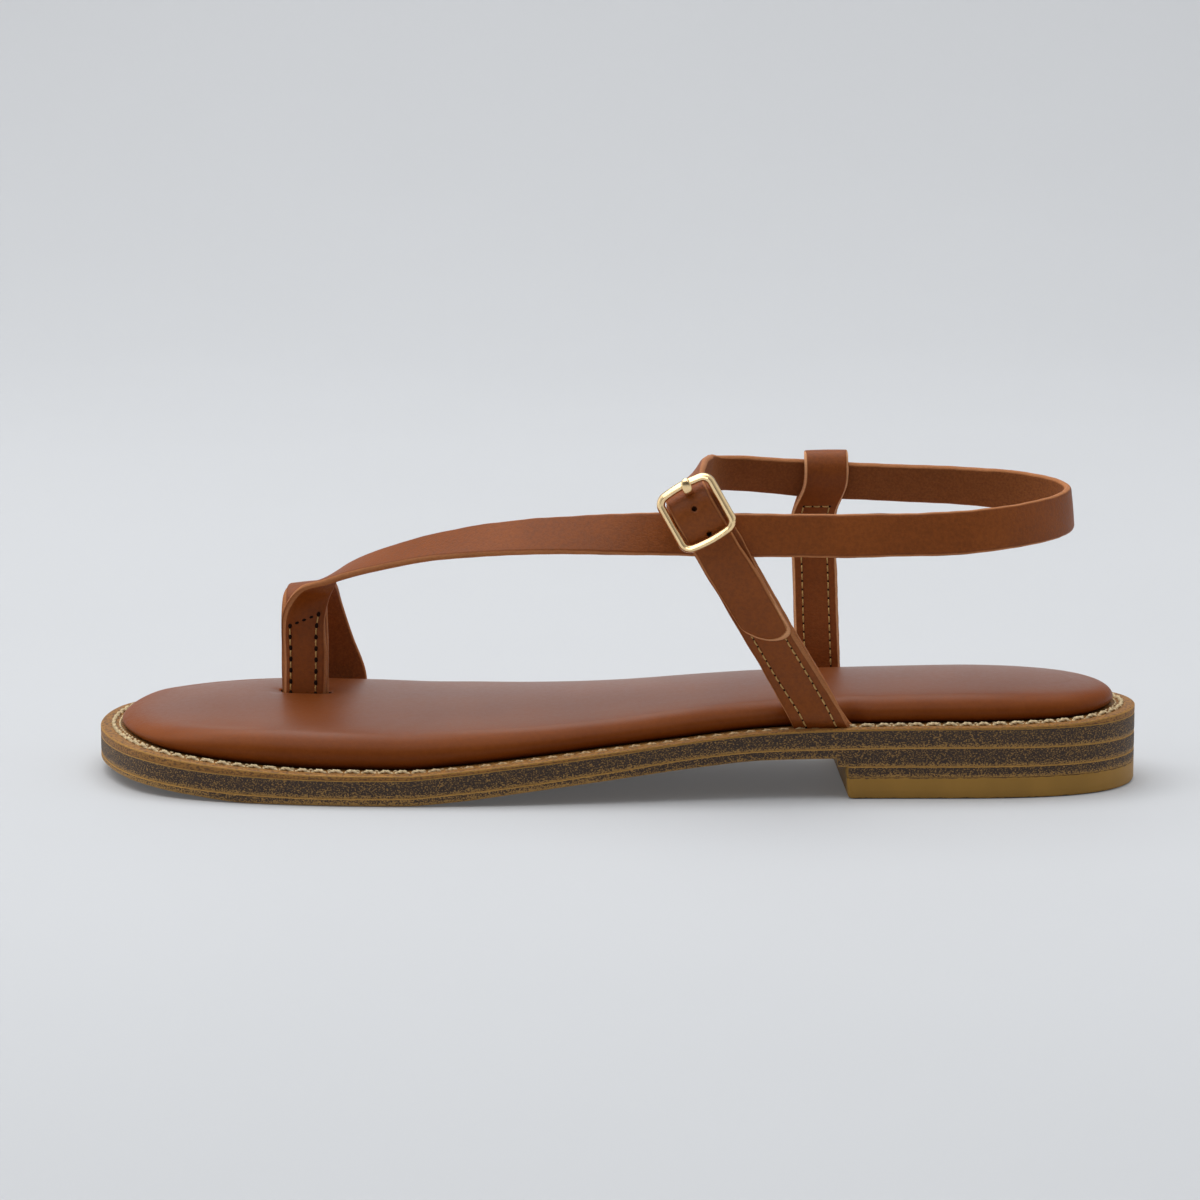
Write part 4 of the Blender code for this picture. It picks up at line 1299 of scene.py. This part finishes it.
def strap_section():
    """Points round a strap's section: place across, face, and at a corner how far out and up it turns."""
    turns = np.linspace(0, math.pi / 2, CORNER_TURNS + 1)
    shares = np.cos(np.linspace(0, math.pi, FACE_STEPS + 1)[1:-1])
    section = []
    for side_v, side_u in ((1, 1), (-1, 1), (-1, -1), (1, -1)):
        order = turns if side_v == side_u else turns[::-1]
        section += [(side_u, side_v, math.sin(turn), math.cos(turn)) for turn in order]
        if side_v == side_u:
            section.append((side_u, 0.0, 1.0, 0.0))
        else:
            section += [(side_u * share, side_v, None, None) for share in shares]
    return section


def ribbon_shape(ribbon, wobble_seed):
    """Surface of a strap with rounded edges, and for each point its share of wall and of flesh side."""
    draw = np.random.default_rng(wobble_seed)
    ranges = (WAVE_LENGTHS, WAVE_TURNS, WAVE_HEIGHTS)
    waves = [[draw.uniform(*limits) for limits in ranges] for _ in range(WAVES)]

    def edge_reach(which):
        chosen = waves[which::2]
        wobble = sum(high * np.sin(2 * math.pi * ribbon.at / long + turn) for long, turn, high in chosen)
        return ribbon.half_width + wobble

    far_reach, near_reach = edge_reach(0), edge_reach(1)
    corner = np.minimum(EDGE_ROUND, EDGE_ROUND_SHARE * ribbon.half_depth)
    rings, wall, flesh = [], [], []
    for side_u, side_v, out, rise in strap_section():
        reach = far_reach if side_u > 0 else near_reach
        flat = np.maximum(reach - corner, LEAST_REACH)
        if out is None:
            u = side_u * flat
            v = side_v * (ribbon.half_depth + FACE_CROWN * (1 - side_u**2))
        else:
            u = side_u * (flat + corner * out)
            v = side_v * (ribbon.half_depth - corner + corner * rise)
        room = reach - np.abs(u)
        # Face points close to an edge get a small share of wall, which the leather paints as a thin line of
        # shade
        edged = np.maximum(out or 0.0, EDGE_SHADE * np.clip(1 - np.maximum(room, 0), 0, 1))
        if side_v >= 0:
            face, bevel, pale = 1, ribbon.bevel, BEVEL_PALE
            room = ribbon.full_width * (1 - np.hypot(u / ribbon.full_width, ribbon.past))
        else:
            face, bevel, pale = -1, ribbon.near_bevel if side_u < 0 else ribbon.far_bevel, 1.0
        inside = np.clip(room / np.maximum(bevel, BEVEL_TINY), BEVEL_LEAST, 1)
        lowered = ribbon.half_depth * (1 - BEVEL_DROP * (1 - inside)) + FACE_CROWN
        v = face * np.minimum(face * v, lowered)
        bevelled = pale * np.clip(BEVEL_STEEP * (1 - inside), 0, 1)
        rings.append(ribbon.middle + ribbon.edge * u[:, None] + ribbon.facing * v[:, None])
        wall.append(np.where(bevel > BEVEL_SHOWS, np.maximum(edged, bevelled), edged))
        flesh.append(0.5 - 0.5 * v / ribbon.half_depth)
    shape = swept(np.stack(rings, axis=1))
    return shape, np.stack(wall, axis=1).ravel(), np.stack(flesh, axis=1).ravel()


def add_strap(name, ribbon, leather, grain_side=1, seed=3, lined_to=0.0):
    """A strap as a piece; up to a length along it both of its faces are grain leather."""
    shape, wall, flesh = ribbon_shape(ribbon, seed)
    flesh = np.clip(flesh if grain_side > 0 else 1 - flesh, 0, 1)
    if lined_to:
        lined = rising(ribbon.at, lined_to, lined_to + LINING_FADE)
        flesh *= np.repeat(lined, len(flesh) // len(lined))
    return add_piece(name, shape, leather, sharp=60.0, wall=wall, flesh=flesh)


def route_ribbon(rows, width, thickness, tail_round=0.0):
    """Ribbon along rows of a route; the standing part at the toe is a little wider."""
    points, edges = np.hsplit(np.array(rows), 2)
    standing = (points[:, 0] < TOE_STANDING_X) & (points[:, 1] < TOE_STANDING_Y)
    wider = np.where(standing, TOE_WIDER * rising(points[:, 2], *TOE_WIDENS), 0.0)
    points[:, 0] += 0.5 * wider
    return Ribbon(points, (width + wider)[:, None] * unit(edges), thickness, tail_round, TOE_BEVEL)


def buckle_axes():
    """Directions across the buckle, and along it down the post."""
    across = np.array([math.cos(POST_LEAN), 0.0, math.sin(POST_LEAN)])
    along = np.array([math.sin(POST_LEAN), 0.0, -math.cos(POST_LEAN)])
    return across, along


def buckle_point(across_by, along_by, depth=0.0):
    """Point by its place across and along the buckle's frame, and its depth behind it."""
    across, along = buckle_axes()
    spot = (BUCKLE_ASIDE + across_by) * across + (BUCKLE_BELOW + along_by) * along
    return POST_TOP + spot + [0.0, depth, 0.0]


def turned(across, turn):
    """Direction of a strap's edge, turned towards the camera's side about the strap's length."""
    return math.cos(turn) * np.asarray(across) + math.sin(turn) * np.array([0.0, -1.0, 0.0])


def post_turn(along):
    """Turn of the lateral post and of the tail over it, which grows below the buckle."""
    return POST_TURN * rising(along, *POST_TURNS)


def toe_rows(rows):
    """Rows of a toe strap, with its standing part turned like the slot."""
    turns = [TOE_TURN * rising(row[2], *TOE_TURNS) for row in rows[:TOE_STANDING_ROWS]]
    standing = [(*row[:3], *turned(row[3:], turn)) for row, turn in zip(rows, turns)]
    return standing + list(rows[TOE_STANDING_ROWS:])


def long_strap_rows():
    across, along = buckle_axes()
    rows = toe_rows(LONG_STRAP)
    for distance, y in BUCKLED_END:
        x, _, z = POST_TOP + distance * along
        rows.append((x, y, z, *turned(across, post_turn(distance))))
    return rows


def lateral_place(along):
    """Point of the lateral post, and its width: square to its lean above, level at its foot."""
    across, down = buckle_axes()
    level_share = np.clip((along - LATERAL_SQUARE) / (LATERAL_LEVEL - LATERAL_SQUARE), 0, 1)
    width = POST_WIDTH + LATERAL_WIDER
    level_edge = np.array([width / math.cos(POST_LEAN), 0.0, 0.0])
    edge = (1 - level_share) * width * turned(across, post_turn(along)) + level_share * level_edge
    return POST_TOP + along * down + LATERAL_WIDER / 2 * across, edge


def medial_place(height):
    """Point of the medial post by height, and its width: upright, with its loop shifted and turned."""
    x, z = MEDIAL_FOOT
    high = rising(height, *LOOP_TURNS)
    edge = POST_WIDTH * turned([1.0, 0.0, 0.0], LOOP_TURN * high)
    return np.array([x + MEDIAL_LEAN * (height - z) + LOOP_SHIFT * high, 0.0, height]), edge


def folded_post(post, loop, place, outside):
    """One strip folded over: its outer layer up, the loop on top, and its inner layer down."""
    def put(rows):
        spots = [place(row[0]) for row in rows]
        points = np.array([(point[0], row[1], point[2]) for (point, _), row in zip(spots, rows)])
        return points, np.array([edge for _, edge in spots])

    middle, edges = put(post)
    over, over_edges = put(loop)
    thick = np.array(post)[:, 2]
    facing = unit(np.cross(np.gradient(middle, axis=0), edges))
    away = ((thick - POST_LAYER) / 2)[:, None] * facing * outside
    doubled = thick == POST_THICKNESS
    points = np.vstack([middle + away, over, (middle - away)[doubled][::-1]])
    return Ribbon(points, np.vstack([edges, over_edges, edges[doubled][::-1]]), POST_LAYER)


def make_upper():
    """Straps and posts, each a leather strip of its own, with their stitches and punched holes."""
    leather = strap_leather()
    shade = hole_shade()
    long_ribbon = route_ribbon(long_strap_rows(), STRAP_WIDTH, STRAP_THICKNESS, TAIL_ROUND)
    long_strap = add_strap("long_strap", long_ribbon, leather, lined_to=STRAP_LINED_TO)
    for across, along in PUNCHED_HOLES:
        centre = long_ribbon.nearest(buckle_point(across, along))
        cut_out(long_strap, punch_tool(long_ribbon, centre, across, shade))
    toe_ribbon = route_ribbon(toe_rows(TOE_STRAP), TOE_STRAP_WIDTH, TOE_STRAP_THICKNESS)
    toe_strap = add_strap("toe_strap", toe_ribbon, leather, -1, seed=5)
    lateral_ribbon = folded_post(LATERAL_POST, LATERAL_LOOP, lateral_place, -1)
    lateral_ribbon.far_bevel = POST_BEVEL * rising(lateral_ribbon.at, *POST_BEVELS)
    lateral_post = add_strap("lateral_post", lateral_ribbon, leather, -1, seed=7)
    medial_ribbon = folded_post(MEDIAL_POST, MEDIAL_LOOP, medial_place, 1)
    loop_top = medial_ribbon.at[np.argmax(medial_ribbon.middle[:, 2])]
    medial_ribbon.bevel = LOOP_BEVEL * rising(medial_ribbon.at - loop_top, *LOOP_BEVELS)
    medial_post = add_strap("medial_post", medial_ribbon, leather, 1, seed=9)
    for piece in (long_strap, toe_strap, lateral_post, medial_post):
        settled(piece, "strap_leather", "upper")
    sew_straps(long_ribbon, lateral_ribbon, medial_ribbon, shade)


def punch_tool(ribbon, along, across, shade):
    """Round punch through the strap at a place along and across it."""
    point, facing = ribbon.spot(along, across, 1)
    right = unit(np.cross(facing, [[0.0, 0.0, 1.0]]))[0]
    up = np.cross(right, facing)
    turns = circle(20)[:, None]
    ring = PUNCHED_RADIUS * (np.cos(turns) * right + np.sin(turns) * up)
    rings = np.stack([point + ring + facing * depth for depth in PUNCHED_DEPTHS])
    return add_piece("punch", swept(rings), shade)


def seam(ribbon, start, stop, side):
    """Line on a strap's face between two places along and across it, and the way the face looks."""
    places = np.linspace(start, stop, max(2, int(math.dist(start, stop))))
    spots = [ribbon.spot(along, across, side) for along, across in places]
    return [np.array(rows) for rows in zip(*spots)]


def spaced(line, facing, pitch, halfway=False, closed=False):
    """Places one pitch apart on a line, or halfway between those, and the way the leather looks there."""
    if closed:
        line, facing = np.vstack([line, line[:1]]), np.vstack([facing, facing[:1]])
    lengths = lengths_along(line)
    count = round(lengths[-1] / pitch)
    steps = np.arange(count) + 0.5 if halfway else np.arange(count + (not closed))
    return [interpolated(steps * lengths[-1] / count, lengths, rows) for rows in (line, facing)]


def sew_straps(long_ribbon, lateral_ribbon, medial_ribbon, shade):
    """Stitches and needle holes of the seams on both faces of the posts and the toe post."""
    # The tan thread's painted shade is the leather's cognac
    thread = sewing_thread("tan_thread", TAN_THREAD, COGNAC, crest_from=-1.2)
    post_lines = []
    for ribbon, width, heights, side in (
        (lateral_ribbon, POST_WIDTH + LATERAL_WIDER, LATERAL_SEAM, -1),
        (medial_ribbon, POST_WIDTH, MEDIAL_SEAM, 1),
    ):
        reach = width / 2 - SEAM_INSET
        half, end = ribbon.at[-1] / 2, ribbon.at[-1]
        for start, stop in ((0.0, half), (half, end)):
            foot, head = (ribbon.at_height(z, start, stop) for z in heights)
            post_lines += [seam(ribbon, (foot, across), (head, across), side) for across in (-reach, reach)]
            post_lines.append(seam(ribbon, (head, -reach), (head, reach), side))
    reach = (STRAP_WIDTH + TOE_WIDER) / 2 - SEAM_INSET
    low, left, right = (long_ribbon.at_height(z, 0.0, TOE_SEAM_END) for z in TOE_SEAM)
    toe_lines, top_lines = [], []
    for side in (-1, 1):
        toe_lines.append(seam(long_ribbon, (low, -reach), (left, -reach), side))
        toe_lines.append(seam(long_ribbon, (low, reach), (right, reach), side))
        top_lines.append(seam(long_ribbon, (left, -reach), (right, reach), side))
    for name, lines, pitch, sizes in (
        ("post_stitches", post_lines, POST_PITCH, POST_THREAD),
        ("toe_stitches", toe_lines, TOE_PITCH, TOE_THREAD),
    ):
        rows = [spaced(*line, pitch, halfway=True) for line in lines]
        add_stitches(name, rows, sizes, thread)
    for name, lines, pitch, radius in (
        ("post_holes", post_lines, POST_PITCH, POST_HOLE),
        ("toe_holes", toe_lines, TOE_PITCH, TOE_HOLE),
        ("toe_top_holes", top_lines, TOE_TOP_PITCH, TOE_TOP_HOLE),
    ):
        rows = [spaced(*line, pitch) for line in lines]
        settled(sewn(name, rows, needle_hole_row(), {"Radius": radius, "Material": shade}))


def sew_welt():
    """Rope-like stitches round the rim, and a row of small beads beside the footbed."""
    cream = sewing_thread("cream_thread", CREAM, CREAM_SHADE, crest_from=-0.55, tight=0.45)
    for name, inset, pitch, sizes in (
        ("rope_stitches", ROPE_INSET, ROPE_PITCH, ROPE),
        ("bead_stitches", BEAD_INSET, BEAD_PITCH, BEADS),
    ):
        ring = ring_at(inset, rope_line)
        row = spaced(ring, np.tile([0.0, 0.0, 1.0], (len(ring), 1)), pitch, closed=True)
        add_stitches(name, [row], sizes, cream, closed=True)


def add_stitches(name, rows, sizes, thread, closed=False):
    inputs = {**dict(zip(STITCH_SIZES, sizes)), "Material": thread}
    settled(sewn(name, rows, sewn_row(), inputs, closed))


def sewn(name, rows, tree, sizes, closed=False):
    """A mesh of stitches at places on the leather, shaped by a tree of nodes with the given sizes."""
    points, facings, edges = [], [], []
    for places, facing in rows:
        first = len(points)
        points += [tuple(point) for point in places * MM]
        facings += list(facing)
        edges += [(i, i + 1) for i in range(first, len(points) - 1)]
        if closed:
            edges.append((len(points) - 1, first))
    mesh = bpy.data.meshes.new(name)
    mesh.from_pydata(points, edges, [])
    kept = mesh.attributes.new("facing", "FLOAT_VECTOR", "POINT")
    kept.data.foreach_set("vector", np.asarray(facings, np.float32).ravel())
    piece = placed(name, mesh)
    stitches = piece.modifiers.new("stitches", "NODES")
    stitches.node_group = tree
    for entry in tree.interface.items_tree:
        if entry.in_out == "INPUT" and entry.name in sizes:
            value = sizes[entry.name]
            scaled = entry.name in ("Length", "Rise", "Sink", "Thread", "Radius")
            stitches[entry.identifier] = value * MM if scaled else value
    made_plain(piece)
    return piece


def row_tree(name, numbers):
    """A tree that puts one shape at the points of lines: its graph, its inputs and the lines."""
    tree = bpy.data.node_groups.new(name, "GeometryNodeTree")
    sockets = [("Geometry", "Geometry"), *((number, "Float") for number in numbers), ("Material", "Material")]
    for socket, kind in sockets:
        tree.interface.new_socket(socket, in_out="INPUT", socket_type="NodeSocket" + kind)
    tree.interface.new_socket("Geometry", in_out="OUTPUT", socket_type="NodeSocketGeometry")
    graph = Graph(tree)
    given = graph.add("NodeGroupInput")
    line = graph.add("GeometryNodeMeshToCurve", {"Mesh": given["Geometry"]})["Curve"]
    return graph, given, line


def put_along(graph, given, line, shape):
    """The shape at each point of the line, turned to it and to the leather's face, as a plain mesh."""
    name = {"Name": "facing"}
    facing = graph.add("GeometryNodeInputNamedAttribute", name, data_type="FLOAT_VECTOR")["Attribute"]
    tangent = graph.add("GeometryNodeInputTangent")["Tangent"]
    axes = {"Primary Axis": facing, "Secondary Axis": tangent}
    turn = graph.add("FunctionNodeAxesToRotation", axes, primary_axis="Z", secondary_axis="X")["Rotation"]
    inputs = {"Points": line, "Instance": shape, "Rotation": turn}
    row = graph.add("GeometryNodeInstanceOnPoints", inputs)["Instances"]
    plain = graph.add("GeometryNodeRealizeInstances", {"Geometry": row})["Geometry"]
    soft = graph.add("GeometryNodeSetShadeSmooth", {"Geometry": plain})["Geometry"]
    dressed = graph.add("GeometryNodeSetMaterial", {"Geometry": soft, "Material": given["Material"]})
    graph.add("NodeGroupOutput", {"Geometry": dressed["Geometry"]})


def sewn_row():
    """Tree of arched stitches of twisted thread, their ends sunk into the leather."""
    graph, given, line = row_tree("sewn_row", STITCH_SIZES)

    def vector(x=0.0, z=0.0):
        return graph.add("ShaderNodeCombineXYZ", {"X": x, "Z": z})["Vector"]

    half = given["Length"] * 0.5
    ends = {"Start": vector(x=0 - half), "End": vector(x=half)}
    run = graph.add("GeometryNodeCurvePrimitiveLine", ends)["Curve"]
    run = graph.add("GeometryNodeResampleCurve", {"Curve": run, "Count": STITCH_STEPS})["Curve"]
    share = graph.add("GeometryNodeSplineParameter")["Factor"]
    arch = 1 - (2 * share - 1) * (2 * share - 1)
    lift = vector(z=given["Rise"] * arch - given["Sink"])
    run = graph.add("GeometryNodeSetPosition", {"Geometry": run, "Offset": lift})["Geometry"]
    twist = 2 * math.pi * given["Turns"] * share
    run = graph.add("GeometryNodeSetCurveTilt", {"Curve": run, "Tilt": twist})["Curve"]
    swelling = STITCH_END + (1 - STITCH_END) * arch
    run = graph.add("GeometryNodeSetCurveRadius", {"Curve": run, "Radius": swelling})["Curve"]
    round_thread = {"Resolution": STITCH_TURNS, "Radius": given["Thread"]}
    ring = graph.add("GeometryNodeCurvePrimitiveCircle", round_thread)["Curve"]
    turn = graph.add("GeometryNodeSplineParameter")["Factor"] * (STITCH_PLIES * 2 * math.pi)
    lobe = turn.math("COSINE", turn) * given["Lobes"]
    spot = graph.add("GeometryNodeInputPosition")["Position"]
    swell = graph.add("ShaderNodeVectorMath", {0: spot, "Scale": lobe}, operation="SCALE")["Vector"]
    ring = graph.add("GeometryNodeSetPosition", {"Geometry": ring, "Offset": swell})["Geometry"]
    inputs = {"Curve": run, "Profile Curve": ring, "Fill Caps": True}
    put_along(graph, given, line, graph.add("GeometryNodeCurveToMesh", inputs)["Mesh"])
    return graph.tree


def needle_hole_row():
    """Tree of small dark discs, painted shade at the needle holes."""
    graph, given, line = row_tree("needle_hole_row", ("Radius",))
    ball = graph.add("GeometryNodeMeshIcoSphere", {"Radius": given["Radius"], "Subdivisions": 2})["Mesh"]
    flat = graph.add("GeometryNodeTransform", {"Geometry": ball, "Scale": HOLE_SHAPE})["Geometry"]
    put_along(graph, given, line, flat)
    return graph.tree


def frame_outline(corner_steps=10, bar_steps=10):
    """Rounded square of the buckle, with bowed top and bottom bars: places across and along it."""
    half_across, half_along = BUCKLE_ACROSS / 2, BUCKLE_ALONG / 2
    flat_across, flat_along = half_across - BUCKLE_CORNER, half_along - BUCKLE_CORNER
    places = []
    for quarter, (side_u, side_v) in enumerate(((1, 1), (-1, 1), (-1, -1), (1, -1))):
        turns = np.radians(90 * quarter + np.linspace(0, 90, corner_steps))
        u = side_u * flat_across + BUCKLE_CORNER * np.cos(turns)
        v = side_v * flat_along + BUCKLE_CORNER * np.sin(turns)
        places += list(zip(u, v))
        shares = np.linspace(1, -1, bar_steps + 1)[1:-1]
        if quarter % 2 == 0:
            places += [(side_u * flat_across * share, side_v * half_along) for share in shares]
        else:
            places += [(side_u * half_across, side_v * flat_along * share) for share in shares]
    u, v = np.array(places).T
    near = np.clip((np.abs(v) - flat_along) / BUCKLE_CORNER, 0, 1)
    bow = BUCKLE_BOW * np.cos(u / half_across * math.pi / 2)
    return np.column_stack([u, v + np.sign(v) * near * bow])


def frame_rings():
    """Rings of the ridged bar along the buckle's outline."""
    section = list(BAR_SECTION) + [(-out, depth) for out, depth in BAR_SECTION[-2:0:-1]]
    path = frame_outline()
    ahead = unit(np.roll(path, -1, axis=0) - np.roll(path, 1, axis=0))
    aside = np.column_stack([ahead[:, 1], -ahead[:, 0]])
    rings = [
        [buckle_point(*(spot + out * way), depth) for out, depth in section]
        for spot, way in zip(path, aside)
    ]
    return np.array(rings)


def centre_bar_rings():
    """Rings of the hidden round bar, which bends back behind the buckle at both ends."""
    end, bend, radius = BUCKLE_ACROSS / 2, CENTRE_BAR_BEND, CENTRE_BAR_RADIUS
    corner = [(math.cos(turn) - 1, math.sin(turn) - 1) for turn in np.radians(np.linspace(0, 90, 7))]
    half = [(end, 0.0), *((end + bend * u, CENTRE_BAR_DEPTH + bend * v) for u, v in corner)]
    route = np.array([(-u, depth) for u, depth in half] + half[::-1])
    rings = []
    for (u, depth), way in zip(route, unit(np.gradient(route, axis=0))):
        around = [(radius * math.cos(turn), radius * math.sin(turn)) for turn in circle(30)]
        rings.append([buckle_point(u - out * way[1], along, depth + out * way[0]) for out, along in around])
    return np.array(rings)


def make_buckle():
    gold = gold_metal()
    points, faces = swept(frame_rings(), closed=True)
    bar_points, bar_faces = swept(centre_bar_rings())
    faces += [tuple(i + len(points) for i in face) for face in bar_faces]
    buckle = add_piece("square_buckle", (np.vstack([points, bar_points]), faces), gold, sharp=38.0)
    settled(buckle, "gold_metal", "buckle_frame")
    make_prong(gold)


def make_prong(gold):
    """Flat hooked prong, from the strap's hole over the top bar."""
    top_bar = -BUCKLE_ALONG / 2 - BUCKLE_BOW
    rows = np.array(PRONG)
    points = [buckle_point(aside, top_bar + past, PRONG_FRONT + deep) for aside, past, deep, _ in rows]
    knots = lengths_along(points)
    at = np.linspace(0, knots[-1], PRONG_STEPS)
    middle = cubic_through(knots, points, at)
    ahead = unit(np.gradient(middle, at, axis=0))
    across = np.tile(buckle_axes()[0], (len(at), 1))
    facing = unit(np.cross(ahead, across))
    end = np.clip((knots[-1] - at) / PRONG_TIP, 0, 1)
    rounded = np.sqrt(np.clip(1 - (1 - end) ** 2, 0.02, 1))
    half_width = even_through(knots, rows[:, 3], at) / 2 * rounded
    rings = []
    for turn in circle(22.5):
        ways = (math.cos(turn), math.sin(turn))
        u, v = (np.sign(way) * abs(way) ** square for way, square in zip(ways, PRONG_SQUARE))
        deep = PRONG_THICKNESS / 2 * v * np.maximum(rounded, PRONG_TIP_LEAST)
        rings.append(middle + across * (u * half_width)[:, None] + facing * deep[:, None])
    prong = add_piece("hooked_prong", swept(np.stack(rings, axis=1)), gold, sharp=60.0)
    settled(prong, "gold_metal", "buckle_prong")


# Stage: floor that turns up into a backdrop, lights and camera
FLOOR_FRONT = -2500.0
FLOOR_BACK = 900.0
FLOOR_SIDE = 2500.0
BACKDROP_TURN = 700.0
BACKDROP_TOP = 2200.0
# Lights: place and target in metres, size, power, and whether they light more than gloss
LIGHTS = (
    ("top_softbox", (-0.3, 0.25, 1.7), (0.0, 0.0, 0.03), 2.4, 2.0, 30.0, True),
    ("gloss_strip", (-0.25, -1.15, 1.35), (0.0, 0.0, 0.05), 2.2, 0.5, 9.0, False),
)
LIGHT_COLOUR = (1.0, 0.995, 0.985)
STUDIO_COLOUR = (0.96, 0.98, 1.0, 1.0)
STUDIO_LIGHT = 0.72
STUDIO_FRONT = 0.12
STUDIO_DIMS = (-0.85, 0.0)
STUDIO_LEFT = 0.5
# The floor's glow is painted light that lifts the shadows on it
FLOOR_GLOW = 0.125


def make_stage():
    turns = np.linspace(0, math.pi / 2, BACKDROP_STEPS + 1)
    profile = [(FLOOR_FRONT, 0.0)]
    profile += [(FLOOR_BACK + BACKDROP_TURN * math.sin(t), BACKDROP_TURN * (1 - math.cos(t))) for t in turns]
    profile.append((FLOOR_BACK + BACKDROP_TURN, BACKDROP_TOP))
    points = [(x, y, z) for y, z in profile for x in (-FLOOR_SIDE, FLOOR_SIDE)]
    faces = [(2 * i, 2 * i + 1, 2 * i + 3, 2 * i + 2) for i in range(len(profile) - 1)]
    floor = add_piece("floor", (points, faces), pale_floor())
    for name, place, target, size_x, size_y, power, lights_all in LIGHTS:
        data = bpy.data.lights.new(name, "AREA")
        data.shape = "RECTANGLE"
        data.size, data.size_y = size_x, size_y
        data.energy = power
        data.color = LIGHT_COLOUR
        light = placed(name, data)
        light.location = place
        light.visible_diffuse = lights_all
        light.rotation_euler = (Vector(place) - Vector(target)).to_track_quat("Z", "Y").to_euler()
    light_studio()


def light_studio():
    """Even pale light from all round, brighter on the toe's side and dim on the camera's side."""
    world = bpy.data.worlds.new("studio")
    world.use_nodes = True
    bpy.context.scene.world = world
    bpy.context.scene.view_settings.view_transform = "Standard"
    graph = Graph(world.node_tree)
    axes = graph.axes(graph.add("ShaderNodeTexCoord")["Generated"])
    dim = graph.ramp(axes["Y"], *STUDIO_DIMS, STUDIO_FRONT, 1.0)
    left = 1 - STUDIO_LEFT * axes["X"].least(0.0)
    background = world.node_tree.nodes["Background"]
    background.inputs["Color"].default_value = STUDIO_COLOUR
    connect(world.node_tree, background.inputs["Strength"], dim * left * STUDIO_LIGHT)


def aim_camera():
    data = bpy.data.cameras.new("camera")
    data.sensor_width = SENSOR
    half_frame = IMAGE_SIDE / 2 / PIXELS_PER_MM
    data.lens = SENSOR / 2 * CAMERA_DISTANCE / half_frame
    data.clip_start, data.clip_end = CAMERA_CLIP
    camera = placed("camera", data)
    away = Vector((
        math.sin(CAMERA_AZIMUTH) * math.cos(CAMERA_ELEVATION),
        -math.cos(CAMERA_AZIMUTH) * math.cos(CAMERA_ELEVATION),
        math.sin(CAMERA_ELEVATION),
    ))
    camera.location = (Vector(CAMERA_TARGET) + away * CAMERA_DISTANCE) * MM
    camera.rotation_euler = away.to_track_quat("Z", "Y").to_euler()
    bpy.context.scene.camera = camera


make_sole()
make_footbed()
make_upper()
sew_welt()
make_buckle()
make_stage()
aim_camera()
